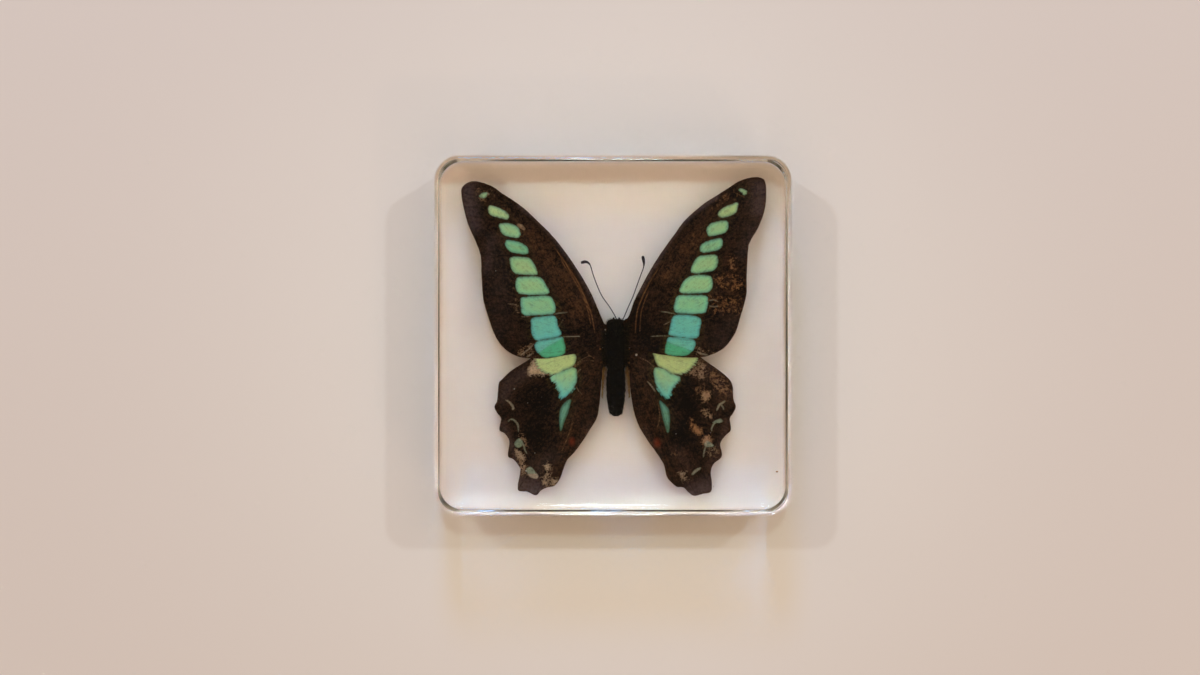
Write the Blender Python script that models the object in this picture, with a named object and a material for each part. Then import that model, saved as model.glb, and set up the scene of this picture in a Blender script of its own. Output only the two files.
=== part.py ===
"""Bluebottle butterfly cast in a clear square block.

The block lies flat on its back with its front face up (+Z) and the insect's head towards +Y.
It is parted in two at the plane of the wings, so that the insect lies in a pocket.
Left and right are as seen from the front. The origin is the centre of the back face.
"""
import math

import bmesh
import bpy
from mathutils import Vector
from mathutils.geometry import delaunay_2d_cdt

# Clear block, in metres.
BLOCK_WIDTH = 0.0800
BLOCK_LENGTH = 0.0806
BLOCK_THICKNESS = 0.0170
CORNER_RADIUS = 0.0056
CORNER_STEPS = 7
EDGE_RADIUS = 0.0006
EDGE_STEPS = 3
PARTING_LEVEL = 0.0085
GAP = 0.0003

# The insect is drawn in units from its body axis, u to the right and v towards the head.
UNIT = 0.000227
AXIS_X = 0.0007
AXIS_Y = -0.0003

# Heights are measured from the parting plane.
WING_THICKNESS = 0.0003
FOREWING_LEVEL = 0.00042
HINDWING_LEVEL = -0.00042
FOREWING_RISE = 0.0005
HINDWING_DROP = -0.0003
VEIN_HEIGHT = 0.00008
WING_SPAN = 152
LATTICE_PITCH = 9
LATTICE_REACH = 165
VEIN_CLEARANCE = 0.4
RIM_STEPS = 2

# Clearance of the pocket around the insect.
POCKET_MARGIN = 0.0005
POCKET_DEPTH = 0.0015

# Outlines of the wings, from the root along the front edge and round the tip.
FOREWING_LEFT = [
    (-14.5, 20), (-18, 28), (-25, 44), (-37, 65), (-50, 84), (-63.5, 101), (-78, 115.5), (-95, 131),
    (-113, 143), (-125, 151), (-142, 155.5), (-153, 150), (-154, 140), (-151, 125), (-147, 111),
    (-139.5, 94), (-135, 80), (-134, 60), (-132.5, 39), (-128, 21.5), (-120, 0), (-110, -13),
    (-97, -20), (-84, -21.5), (-68, -21.5), (-51, -18.5), (-30, -15), (-15.5, -9), (-14.5, 5),
]
FOREWING_RIGHT = [
    (14.5, 22), (18, 35), (23, 45.5), (34, 66), (46, 85), (59, 103), (69.5, 117), (86.5, 132),
    (99.5, 140.5), (112, 148.5), (122, 155), (132, 158.5), (140, 159.5), (146.5, 158), (149.5, 153),
    (150, 139), (148.5, 127), (145.5, 117), (141, 107), (135, 97), (132.5, 90.5), (131.5, 80),
    (130.5, 58), (130.5, 44), (128, 32), (124.5, 20.5), (120.5, 7), (115, -3), (107, -12),
    (95, -18), (84, -20.5), (68, -20.5), (51, -18.5), (30, -15), (15.5, -9), (14.5, 5),
]
HINDWING_LEFT = [
    (-14.5, -13), (-27, -5), (-41, 0), (-54, -2), (-68, -10), (-77, -16.5), (-94, -27), (-105, -34),
    (-113.5, -42), (-117, -46), (-118, -54), (-119, -64), (-121.5, -70), (-119, -76), (-115, -82),
    (-116.5, -93), (-111, -97), (-106.5, -105), (-108, -119), (-102, -123), (-96, -131),
    (-96, -137), (-98, -148), (-97, -154), (-89, -155), (-80, -158.5), (-74.5, -153.5),
    (-68, -150.5), (-61.5, -149), (-56, -142), (-52, -131), (-48.5, -123), (-42, -116),
    (-33, -104), (-26, -93), (-19, -81), (-16.5, -68), (-15, -52), (-13.5, -37), (-14, -26),
]
HINDWING_RIGHT = [
    (14.5, -13), (27, -5), (41, -1), (54, -4.5), (68, -10), (78.5, -16), (94, -27), (106, -35.5),
    (114, -43), (117, -50), (117.5, -61.5), (120, -70), (117.5, -76), (114, -82), (115, -93),
    (109, -99.5), (104.5, -107), (106, -119.5), (98, -127), (95, -135), (96, -146), (95, -155),
    (87, -157), (78, -159), (72, -155), (68, -151), (61, -150), (56, -146), (51, -140),
    (48, -128), (42, -118), (32, -104), (23, -89), (18, -74.5), (15, -57), (13.5, -41), (14, -26),
]

# Veins of the left wings. The right wings carry the same pattern mirrored.
FOREWING_VEINS = [
    [(-20, 8), (-27, 13), (-41, 30), (-51, 50), (-64, 74), (-76, 88), (-86, 104), (-92, 111)],
    [(-20, 18), (-24, 28), (-30, 42), (-41, 64), (-57, 88), (-74, 105), (-92, 111)],
    [(-20, -8), (-50, -13), (-80, -16)],
    [(-27, 13), (-54, 0), (-81, -4), (-112, -2)],
    [(-41, 30), (-60, 23), (-93, 19), (-122, 21)],
    [(-51, 50), (-63, 43), (-101, 40), (-127, 41)],
    [(-64, 74), (-75, 62), (-104, 60), (-129, 60)],
    [(-76, 88), (-87, 81), (-108, 81), (-130, 82)],
    [(-86, 104), (-98, 98), (-116, 98), (-137, 101)],
    [(-92, 111), (-104, 115), (-122, 117), (-145, 121)],
    [(-92, 111), (-108, 130), (-128, 138), (-147, 143)],
]
HINDWING_VEINS = [
    [(-20, -15), (-45, -22), (-80, -32), (-112, -45)],
    [(-20, -15), (-46, -36), (-82, -54), (-116, -70)],
    [(-46, -36), (-66, -58), (-90, -77), (-111, -91)],
    [(-66, -58), (-76, -84), (-90, -103), (-102, -116)],
    [(-20, -26), (-38, -58), (-52, -88), (-75, -120), (-93, -149)],
    [(-38, -58), (-48, -90), (-62, -122), (-79, -153)],
    [(-20, -26), (-27, -60), (-40, -95), (-55, -135)],
]

# Body profile from head to tail: place along the axis, half width and half height, all in units.
BODY_PROFILE = [
    (18.0, 2.2, 2.0), (16.5, 5.0, 4.2), (13.5, 7.0, 6.0), (10.0, 7.6, 6.8), (6.5, 7.0, 6.6),
    (4.0, 7.6, 7.6), (1.0, 10.0, 9.4), (-4.0, 11.8, 10.8), (-11.0, 12.4, 11.2), (-18.0, 11.6, 10.4),
    (-24.0, 9.6, 8.8), (-29.0, 7.8, 7.2), (-32.0, 7.0, 6.4),
]
ABDOMEN_START = -32.0
ABDOMEN_END = -79.5
ABDOMEN_SEGMENTS = 7
ABDOMEN_HALF_WIDTH = 9.0
ABDOMEN_HALF_HEIGHT = 8.0
SEGMENT_GROOVE = 0.93
BODY_SIDES = 14
BODY_DROP = -0.0006
EYE_RADIUS = 0.00085
LEG_RADIUS = 0.00020
LEG_ROOTS = (0, -9, -18)

# Antennae: shaft and club, route in units.
ANTENNA_LEFT = [(0.6, 20.0), (-6, 30), (-14, 41), (-19, 52), (-23, 63), (-25, 70), (-27, 73.5),
                (-30.5, 75), (-35, 74)]
ANTENNA_RIGHT = [(8.6, 21.0), (12.5, 30), (17, 40), (21, 51), (25, 62), (27.5, 69), (28, 74), (26.8, 81)]
SHAFT_RADIUS = 0.00014
CLUB_RADIUS = 0.00034
CLUB_LENGTH = 11
ANTENNA_SIDES = 6

# Colours of the materials.
RESIN_COLOUR = (0.93, 0.90, 0.85, 1.0)
WING_COLOUR = (0.035, 0.022, 0.016, 1.0)
BODY_COLOUR = (0.012, 0.010, 0.009, 1.0)
ANTENNA_COLOUR = (0.030, 0.024, 0.026, 1.0)


def clear_scene():
    """Remove every object that the file starts with."""
    for item in list(bpy.data.objects):
        bpy.data.objects.remove(item, do_unlink=True)


def make_material(name, colour, roughness, metallic=0.0, transmission=0.0):
    """Return a plain surface of one colour."""
    material = bpy.data.materials.new(name)
    material.use_nodes = True
    shader = material.node_tree.nodes["Principled BSDF"]
    shader.inputs["Base Color"].default_value = colour
    shader.inputs["Roughness"].default_value = roughness
    shader.inputs["Metallic"].default_value = metallic
    shader.inputs["Transmission Weight"].default_value = transmission
    shader.inputs["IOR"].default_value = 1.5
    material.diffuse_color = colour
    return material


def add_object(name, shape, material, parent, smooth_angle=None):
    """Turn a bmesh into a named object that hangs on a parent."""
    bmesh.ops.recalc_face_normals(shape, faces=shape.faces)
    mesh = bpy.data.meshes.new(name)
    shape.to_mesh(mesh)
    shape.free()
    if smooth_angle is not None:
        mesh.shade_smooth()
        mesh.set_sharp_from_angle(angle=math.radians(smooth_angle))
    item = bpy.data.objects.new(name, mesh)
    bpy.context.collection.objects.link(item)
    item.parent = parent
    if material:
        mesh.materials.append(material)
    return item


def add_guide(name, shape, parent):
    """Make an object that only shapes others."""
    guide = add_object(name, shape, None, parent)
    guide.hide_render = True
    guide.display_type = 'WIRE'
    return guide


def add_boolean(item, other, operation):
    """Join another object's shape to this one, or cut it away."""
    modifier = item.modifiers.new(other.name, 'BOOLEAN')
    modifier.operation = operation
    modifier.solver = 'EXACT'
    modifier.object = other


def add_empty(name, location):
    """Make a reference point that pieces hang on."""
    empty = bpy.data.objects.new(name, None)
    empty.empty_display_size = 0.01
    empty.location = location
    bpy.context.collection.objects.link(empty)
    return empty


def rounded_square(half_x, half_y, radius):
    """Return the outline of a rectangle with round corners, anticlockwise."""
    points = []
    for corner in range(4):
        start = corner * math.pi / 2
        sign_x = 1 if corner in (0, 3) else -1
        sign_y = 1 if corner in (0, 1) else -1
        for step in range(CORNER_STEPS + 1):
            angle = start + step * math.pi / 2 / CORNER_STEPS
            x = sign_x * (half_x - radius) + radius * math.cos(angle)
            y = sign_y * (half_y - radius) + radius * math.sin(angle)
            points.append((x, y))
    return points


def bridge_rings(shape, rings):
    """Join closed rings of vertices, one to the next, with four-sided faces."""
    for near, far in zip(rings, rings[1:]):
        count = len(near)
        for index in range(count):
            after = (index + 1) % count
            shape.faces.new((near[index], near[after], far[after], far[index]))


def block_half(name, levels, material, parent):
    """Stack outlines, each a height and an inset, into one half of the block."""
    shape = bmesh.new()
    rings = []
    for height, inset in levels:
        outline = rounded_square(BLOCK_WIDTH / 2 - inset, BLOCK_LENGTH / 2 - inset, CORNER_RADIUS - inset)
        rings.append([shape.verts.new((x, y, height)) for x, y in outline])
    bridge_rings(shape, rings)
    shape.faces.new(rings[0])
    shape.faces.new(rings[-1])
    return add_object(name, shape, material, parent, 40)


def rounded_edge(level, direction):
    """Return heights and insets of a rounded edge that ends in the face at a level."""
    steps = []
    for step in range(EDGE_STEPS + 1):
        angle = step * math.pi / 2 / EDGE_STEPS
        height = level - direction * EDGE_RADIUS * (1 - math.sin(angle))
        steps.append((height, EDGE_RADIUS * (1 - math.cos(angle))))
    return steps


def smooth_rim(outline, steps=RIM_STEPS):
    """Run a smooth closed curve through the outline's points."""
    rim = []
    count = len(outline)
    for index in range(count):
        before, start, end, after = (Vector(outline[(index + k) % count]) for k in (-1, 0, 1, 2))
        for step in range(steps):
            t = step / steps
            point = 2 * start + (end - before) * t
            point += (2 * before - 5 * start + 4 * end - after) * t * t
            point += (3 * start - before - 3 * end + after) * t ** 3
            rim.append(point / 2)
    return rim


def distance_to_run(point, start, end):
    """Return the distance from a point to a straight run."""
    along = end - start
    share = max(0.0, min(1.0, (point - start).dot(along) / max(along.length_squared, 1e-9)))
    return (point - start - along * share).length


def is_inside(point, rim):
    """Tell whether a point lies within a closed outline."""
    inside = False
    for start, end in zip(rim, rim[1:] + rim[:1]):
        if (start.y > point.y) != (end.y > point.y):
            crossing = start.x + (point.y - start.y) * (end.x - start.x) / (end.y - start.y)
            if point.x < crossing:
                inside = not inside
    return inside


def lattice_points(rim, runs):
    """Return points in staggered rows that keep clear of the rim and of the veins."""
    points = []
    reach = LATTICE_REACH // LATTICE_PITCH
    for row in range(-reach, reach + 1):
        for column in range(-reach, reach + 1):
            point = Vector(((column + 0.5 * (row % 2)) * LATTICE_PITCH, row * LATTICE_PITCH))
            if not is_inside(point, rim):
                continue
            nearest = min(distance_to_run(point, start, end) for start, end in runs)
            if nearest > LATTICE_PITCH * VEIN_CLEARANCE:
                points.append(point)
    return points


def wing(name, outline, veins, side, level, bend, material, parent):
    """Make a thin sheet inside the outline, with its veins raised and its tip bent."""
    rim = smooth_rim(outline)
    points = list(rim)
    edges = [(index, (index + 1) % len(rim)) for index in range(len(rim))]
    vein_points = []
    for vein in veins:
        previous = None
        for u, v in vein:
            point = Vector((side * u, v))
            known = [place for place in vein_points if (points[place] - point).length < 0.01]
            if known:
                place = known[0]
            else:
                place = len(points)
                points.append(point)
                vein_points.append(place)
            if previous is not None:
                edges.append((previous, place))
            previous = place
    runs = [(points[a], points[b]) for a, b in edges]
    points.extend(lattice_points(rim, runs))
    found = delaunay_2d_cdt(points, edges, [list(range(len(rim)))], 1, 1e-5)
    raised = set()
    for place, sources in enumerate(found[3]):
        if any(source in vein_points for source in sources):
            raised.add(place)
    shape = bmesh.new()
    vertices = []
    for place, point in enumerate(found[0]):
        share = abs(point.x) / WING_SPAN
        height = level + bend * share * share - WING_THICKNESS / 2
        if place in raised:
            height += VEIN_HEIGHT
        vertices.append(shape.verts.new((point.x * UNIT, point.y * UNIT, height)))
    for face in found[2]:
        shape.faces.new([vertices[place] for place in face])
    thick = bmesh.ops.extrude_face_region(shape, geom=shape.faces[:])
    moved = [part for part in thick["geom"] if isinstance(part, bmesh.types.BMVert)]
    bmesh.ops.translate(shape, verts=moved, vec=(0, 0, WING_THICKNESS))
    return add_object(name, shape, material, parent, 30)


def wing_pocket(name, outline, low, high, parent):
    """Make the flat-sided space that a wing lies in."""
    rim = smooth_rim(outline, 1)
    count = len(rim)
    area = sum(a.x * b.y - b.x * a.y for a, b in zip(rim, rim[1:] + rim[:1]))
    turn = 1 if area > 0 else -1
    wide = []
    for index, point in enumerate(rim):
        along = (rim[(index + 1) % count] - rim[index - 1]).normalized()
        outward = Vector((along.y, -along.x)) * turn
        wide.append(point * UNIT + outward * POCKET_MARGIN)
    shape = bmesh.new()
    rings = [[shape.verts.new((p.x, p.y, height)) for p in wide] for height in (low, high)]
    bridge_rings(shape, rings)
    shape.faces.new(rings[0])
    shape.faces.new(rings[1])
    return add_guide(name, shape, parent)


def tube(shape, route, radii, sides):
    """Run a closed round tube along a route in space."""
    rings = []
    count = len(route)
    for index, point in enumerate(route):
        along = route[min(index + 1, count - 1)] - route[max(index - 1, 0)]
        across = along.cross(Vector((0, 0, 1))).normalized()
        upward = across.cross(along).normalized()
        ring = []
        for side in range(sides):
            angle = 2 * math.pi * side / sides
            offset = across * math.cos(angle) + upward * math.sin(angle)
            ring.append(shape.verts.new(point + offset * radii[index]))
        rings.append(ring)
    bridge_rings(shape, rings)
    shape.faces.new(rings[0])
    shape.faces.new(rings[-1])


def body_profile():
    """Return the whole profile, with the abdomen's segments swelling between grooves."""
    profile = list(BODY_PROFILE)
    length = ABDOMEN_END - ABDOMEN_START
    steps = ABDOMEN_SEGMENTS * 2
    for step in range(1, steps):
        share = step / steps
        swell = math.sin(math.pi * (0.22 + 0.76 * share)) ** 0.45
        groove = SEGMENT_GROOVE if step % 2 == 0 else 1.0
        profile.append((
            ABDOMEN_START + length * share,
            ABDOMEN_HALF_WIDTH * swell * groove,
            ABDOMEN_HALF_HEIGHT * swell * groove,
        ))
    profile.append((ABDOMEN_END, 1.5, 1.2))
    return profile


def body_loft(margin):
    """Loft oval rings along the body axis, grown outward by a margin."""
    shape = bmesh.new()
    rings = []
    for v, half_width, half_height in body_profile():
        ring = []
        for side in range(BODY_SIDES):
            angle = 2 * math.pi * side / BODY_SIDES
            x = (half_width * UNIT + margin) * math.cos(angle)
            z = (half_height * UNIT + margin) * math.sin(angle) + BODY_DROP
            ring.append(shape.verts.new((x, v * UNIT, z)))
        rings.append(ring)
    if margin > 0:
        for vertex in rings[0]:
            vertex.co.y += margin
        for vertex in rings[-1]:
            vertex.co.y -= margin
    bridge_rings(shape, rings)
    shape.faces.new(rings[0])
    shape.faces.new(rings[-1])
    return shape


def leg_route(side, root):
    """Return a folded leg: out from the chest, back and in again."""
    return [
        Vector((side * 4 * UNIT, root * UNIT, BODY_DROP - 8 * UNIT)),
        Vector((side * 9 * UNIT, (root - 3) * UNIT, BODY_DROP - 12.5 * UNIT)),
        Vector((side * 7 * UNIT, (root - 11) * UNIT, BODY_DROP - 14 * UNIT)),
        Vector((side * 4 * UNIT, (root - 17) * UNIT, BODY_DROP - 13 * UNIT)),
    ]


def build_body(material, parent):
    """Make the body with eyes and palps on its head and six folded legs."""
    body = add_object("body", body_loft(0.0), material, parent, 50)
    for side, label in ((-1, "left"), (1, "right")):
        eye = bmesh.new()
        bmesh.ops.create_uvsphere(eye, u_segments=10, v_segments=7, radius=EYE_RADIUS)
        bmesh.ops.translate(eye, verts=eye.verts, vec=(side * 5.6 * UNIT, 12 * UNIT, BODY_DROP))
        add_boolean(body, add_guide("eye_" + label, eye, parent), 'UNION')
        palp = bmesh.new()
        start = Vector((side * 2.4 * UNIT, 13 * UNIT, BODY_DROP - 3 * UNIT))
        end = Vector((side * 2.9 * UNIT, 19.5 * UNIT, BODY_DROP - 1 * UNIT))
        tube(palp, [start, end], [0.0004, 0.0002], 6)
        add_boolean(body, add_guide("palp_" + label, palp, parent), 'UNION')
        for number, root in enumerate(LEG_ROOTS):
            leg = bmesh.new()
            tube(leg, leg_route(side, root), [LEG_RADIUS * f for f in (1.4, 1.2, 1.0, 0.7)], 6)
            add_boolean(body, add_guide(f"leg_{label}_{number}", leg, parent), 'UNION')
    return body


def antenna_route(points):
    """Return the antenna's route in metres, in the parting plane."""
    return [Vector((u * UNIT, v * UNIT, 0)) for u, v in points]


def antenna_radii(route, margin=0.0):
    """Return radii along a route: a thin shaft that swells into a club."""
    lengths = [0.0]
    for start, end in zip(route, route[1:]):
        lengths.append(lengths[-1] + (end - start).length)
    radii = []
    for length in lengths:
        share = max(0.0, 1 - (lengths[-1] - length) / (CLUB_LENGTH * UNIT))
        swell = math.sin(math.pi * (0.5 * share + 0.28 * share ** 3))
        radii.append(SHAFT_RADIUS + (CLUB_RADIUS - SHAFT_RADIUS) * max(0.0, swell) + margin)
    return radii


def fine_route(points, steps):
    """Add points to an open route along a smooth curve."""
    pinned = [points[0]] + points + [points[-1]]
    fine = []
    for before, start, end, after in zip(pinned, pinned[1:], pinned[2:], pinned[3:]):
        for step in range(steps):
            t = step / steps
            point = 2 * start + (end - before) * t
            point += (2 * before - 5 * start + 4 * end - after) * t * t
            point += (3 * start - before - 3 * end + after) * t ** 3
            fine.append(point / 2)
    fine.append(points[-1])
    return fine


def build_antenna(name, points, material, parent):
    """Make one antenna."""
    route = fine_route(antenna_route(points), 2)
    shape = bmesh.new()
    tube(shape, route, antenna_radii(route), ANTENNA_SIDES)
    return add_object(name, shape, material, parent, 60)


def antenna_pocket(name, points, parent):
    """Make the space around an antenna, open into the space around the body."""
    route = antenna_route(points)
    first = route[0] - (route[1] - route[0]).normalized() * 0.0012
    last = route[-1] + (route[-1] - route[-2]).normalized() * POCKET_MARGIN
    route = [first] + route[1:-1] + [last]
    shape = bmesh.new()
    tube(shape, route, antenna_radii(route, POCKET_MARGIN), ANTENNA_SIDES)
    return add_guide(name, shape, parent)


def leg_pocket(name, parent):
    """Make the space under the chest that the folded legs lie in."""
    shape = bmesh.new()
    outline = rounded_square(13 * UNIT, 22 * UNIT, 8 * UNIT)
    heights = (BODY_DROP - 17.5 * UNIT, BODY_DROP)
    rings = [[shape.verts.new((x, y - 17 * UNIT, height)) for x, y in outline] for height in heights]
    bridge_rings(shape, rings)
    shape.faces.new(rings[0])
    shape.faces.new(rings[1])
    return add_guide(name, shape, parent)


def build_block(parent, insect):
    """Make both halves of the block and cut the insect's pocket into them."""
    resin = make_material("clear_resin", RESIN_COLOUR, 0.04, transmission=1.0)
    lower_levels = list(reversed(rounded_edge(0.0, -1))) + [(PARTING_LEVEL - GAP / 2, 0.0)]
    upper_levels = [(PARTING_LEVEL + GAP / 2, 0.0)] + rounded_edge(BLOCK_THICKNESS, 1)
    lower = block_half("block_lower", lower_levels, resin, parent)
    upper = block_half("block_upper", upper_levels, resin.copy(), parent)
    body_space = add_guide("body_space", body_loft(POCKET_MARGIN), insect)
    shared = [
        body_space,
        antenna_pocket("antenna_space_left", ANTENNA_LEFT, insect),
        antenna_pocket("antenna_space_right", ANTENNA_RIGHT, insect),
    ]
    behind = [
        leg_pocket("leg_space", insect),
        wing_pocket("hindwing_space_left", HINDWING_LEFT, -POCKET_DEPTH, 0.0, insect),
        wing_pocket("hindwing_space_right", HINDWING_RIGHT, -POCKET_DEPTH, 0.0, insect),
    ]
    before = [
        wing_pocket("forewing_space_left", FOREWING_LEFT, 0.0, POCKET_DEPTH, insect),
        wing_pocket("forewing_space_right", FOREWING_RIGHT, 0.0, POCKET_DEPTH, insect),
    ]
    for cutter in shared + behind:
        add_boolean(lower, cutter, 'DIFFERENCE')
    for cutter in shared + before:
        add_boolean(upper, cutter, 'DIFFERENCE')


def build_insect(parent):
    """Make the body, the four wings and the two antennae."""
    wing_scales = make_material("wing_scales", WING_COLOUR, 0.55)
    build_body(make_material("body_hair", BODY_COLOUR, 0.8), parent)
    forewings = (("forewing_left", FOREWING_LEFT, 1), ("forewing_right", FOREWING_RIGHT, -1))
    hindwings = (("hindwing_left", HINDWING_LEFT, 1), ("hindwing_right", HINDWING_RIGHT, -1))
    for name, outline, side in forewings:
        wing(name, outline, FOREWING_VEINS, side, FOREWING_LEVEL, FOREWING_RISE, wing_scales.copy(), parent)
    for name, outline, side in hindwings:
        wing(name, outline, HINDWING_VEINS, side, HINDWING_LEVEL, HINDWING_DROP, wing_scales.copy(), parent)
    shell = make_material("antenna_shell", ANTENNA_COLOUR, 0.4)
    build_antenna("antenna_left", ANTENNA_LEFT, shell, parent)
    build_antenna("antenna_right", ANTENNA_RIGHT, shell.copy(), parent)


def main():
    """Build the block and the insect in it."""
    clear_scene()
    block = add_empty("block", (0, 0, 0))
    insect = add_empty("insect", (AXIS_X, AXIS_Y, PARTING_LEVEL))
    insect.parent = block
    build_insect(insect)
    build_block(block, insect)


main()
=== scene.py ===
"""Bluebottle butterfly cast in a clear square block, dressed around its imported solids."""
import math
import random

import bmesh
import bpy
import numpy as np
from mathutils import Matrix, Vector, noise
from mathutils.geometry import delaunay_2d_cdt


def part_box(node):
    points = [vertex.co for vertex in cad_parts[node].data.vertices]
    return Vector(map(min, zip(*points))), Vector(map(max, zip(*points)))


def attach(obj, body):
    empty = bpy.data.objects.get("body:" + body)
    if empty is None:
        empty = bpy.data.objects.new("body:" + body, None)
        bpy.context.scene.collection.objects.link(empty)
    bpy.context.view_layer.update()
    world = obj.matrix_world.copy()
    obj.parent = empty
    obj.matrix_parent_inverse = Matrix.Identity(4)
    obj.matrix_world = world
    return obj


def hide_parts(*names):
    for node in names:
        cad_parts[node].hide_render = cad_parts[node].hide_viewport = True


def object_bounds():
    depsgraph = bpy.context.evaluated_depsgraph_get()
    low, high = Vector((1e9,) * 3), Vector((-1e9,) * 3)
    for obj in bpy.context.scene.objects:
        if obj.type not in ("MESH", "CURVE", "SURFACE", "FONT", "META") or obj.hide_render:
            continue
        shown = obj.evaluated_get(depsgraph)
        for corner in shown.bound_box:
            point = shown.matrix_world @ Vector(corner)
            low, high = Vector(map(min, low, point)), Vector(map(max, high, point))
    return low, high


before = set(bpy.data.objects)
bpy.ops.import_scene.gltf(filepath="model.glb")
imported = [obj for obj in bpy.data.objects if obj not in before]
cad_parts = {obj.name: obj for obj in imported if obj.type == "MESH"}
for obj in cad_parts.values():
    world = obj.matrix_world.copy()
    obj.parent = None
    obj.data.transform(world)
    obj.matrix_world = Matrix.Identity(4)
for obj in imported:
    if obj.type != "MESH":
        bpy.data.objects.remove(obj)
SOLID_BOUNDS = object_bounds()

bl_info = {
    "name": "Butterfly in a clear block",
    "version": (1, 0, 0),
    "blender": (4, 5, 0),
    "location": "View3D > Sidebar > Specimen",
    "description": "Adds a butterfly specimen cast in a clear block, and a studio for it",
    "category": "Add Mesh",
}

LOWER_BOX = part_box("block_lower")
UPPER_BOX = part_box("block_upper")
PARTING_LEVEL = (LOWER_BOX[1][2] + UPPER_BOX[0][2]) / 2

# The insect is drawn in units from its body axis, u to the right and v towards the head.
UNIT = 0.000227
AXIS = Vector((0.0007, -0.0003, PARTING_LEVEL))

# Wing sheets.
SHEET_PITCH = 1.35
SHEET_THICKNESS = 0.00010
FOREWING_LEVEL = 0.00036
HINDWING_LEVEL = -0.00030
FOREWING_RISE = 0.0005
HINDWING_DROP = -0.0003
WING_SPAN = 152.0
OVERLAP_DIP = 0.00016
OVERLAP_MIDDLE = -10.0
OVERLAP_REACH = 14.0
OVERLAP_SOFTNESS = 20.0
ROW_SHARE = 0.866
RIM_WOBBLE = 0.22
RIM_WOBBLE_PITCH = 3.1
WAVE_PITCH = 22.0
WAVE_HEIGHT = 0.00007
VEIN_HEIGHT = 0.00004
TROUGH_DEPTH = 0.00006
WING_ROOT = (12.0, -4.0)
FAR = 1e6

# How wide the features of the wings' colours are, in units.
VEIN_LINE = 0.8
VEIN_GLOW = 1.2
VEIN_GLOW_REACH = 3.2
RIM_LINE = 1.3
HAZE_REACH = 7.0
WINDOW_RIM = 2.4
WINDOW_DEPTH = 6.0
WINDOW_VEIN = 0.6
SPLIT_LINE = 0.55
STROKE_EDGE = 0.6
RED_EDGE = 2.2
WORN_REACH = 7.0
CURL_REACH = 8.0

# Refraction of the wings' scales and of all other dry things, and the depth of fine reliefs.
SCALE_IOR = 1.12
DRY_IOR = 1.2
SCALE_RELIEF = 0.00006
HAIR_RELIEF = 0.00008
ANTENNA_RELIEF = 0.00003

# How close together the grains of the wings' textures lie, per metre.
CLOUD_SCALE = 240.0
BLOTCH_SCALE = 620.0
FINE_SCALE = 1500.0
GRAIN_SCALE = 3200.0

FOREWING_LEFT = [
    (-9, 10), (-12.5, 15), (-18, 28), (-25, 44), (-37, 65), (-50, 84), (-63.5, 101), (-78, 115.5),
    (-95, 131), (-113, 143), (-125, 151), (-142, 155.5), (-153, 150), (-154, 140), (-151, 125),
    (-147, 111), (-139.5, 94), (-135, 80), (-134, 60), (-132.5, 39), (-128, 21.5), (-120, 0),
    (-110, -13), (-97, -20), (-84, -21.5), (-68, -21.5), (-51, -18.5), (-30, -15), (-15, -11), (-8, -6),
]
FOREWING_RIGHT = [
    (8, 15), (12.5, 20), (18, 35), (23, 45.5), (34, 66), (46, 85), (59, 103), (69.5, 117), (86.5, 132),
    (99.5, 140.5), (112, 148.5), (122, 155), (132, 158.5), (140, 159.5), (146.5, 158), (149.5, 153),
    (150, 139), (148.5, 127), (145.5, 117), (141, 107), (135, 97), (132.5, 90.5), (131.5, 80),
    (130.5, 58), (130.5, 44), (128, 32), (124.5, 20.5), (120.5, 7), (115, -3), (107, -12),
    (95, -18), (84, -20.5), (68, -20.5), (51, -18.5), (30, -15), (15, -11), (8, -6),
]
HINDWING_LEFT = [
    (-7, -12), (-14.5, -11), (-27, -5), (-41, 0), (-54, -2), (-68, -10), (-77, -16.5), (-94, -27),
    (-105, -34), (-113.5, -42), (-117, -46), (-118, -54), (-119, -64), (-121.5, -70), (-119, -76),
    (-115, -82), (-116.5, -93), (-111, -97), (-106.5, -105), (-108, -119), (-102, -123), (-96, -131),
    (-96, -137), (-98, -148), (-97, -154), (-89, -155), (-80, -158.5), (-74.5, -153.5),
    (-68, -150.5), (-61.5, -149), (-56, -142), (-52, -131), (-48.5, -123), (-42, -116),
    (-33, -104), (-26, -93), (-19, -81), (-16.5, -68), (-15, -52), (-13, -37), (-9, -26),
]
HINDWING_RIGHT = [
    (7, -12), (14.5, -11), (27, -5), (41, -1), (54, -4.5), (68, -10), (78.5, -16), (94, -27), (106, -35.5),
    (114, -43), (117, -50), (117.5, -61.5), (120, -70), (117.5, -76), (114, -82), (115, -93),
    (109, -99.5), (104.5, -107), (106, -119.5), (98, -127), (95, -135), (96, -146), (95, -155),
    (87, -157), (78, -159), (72, -155), (68, -151), (61, -150), (56, -146), (51, -140),
    (48, -128), (42, -118), (32, -104), (23, -89), (18, -74.5), (15, -57), (13, -41), (9, -27),
]

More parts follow.
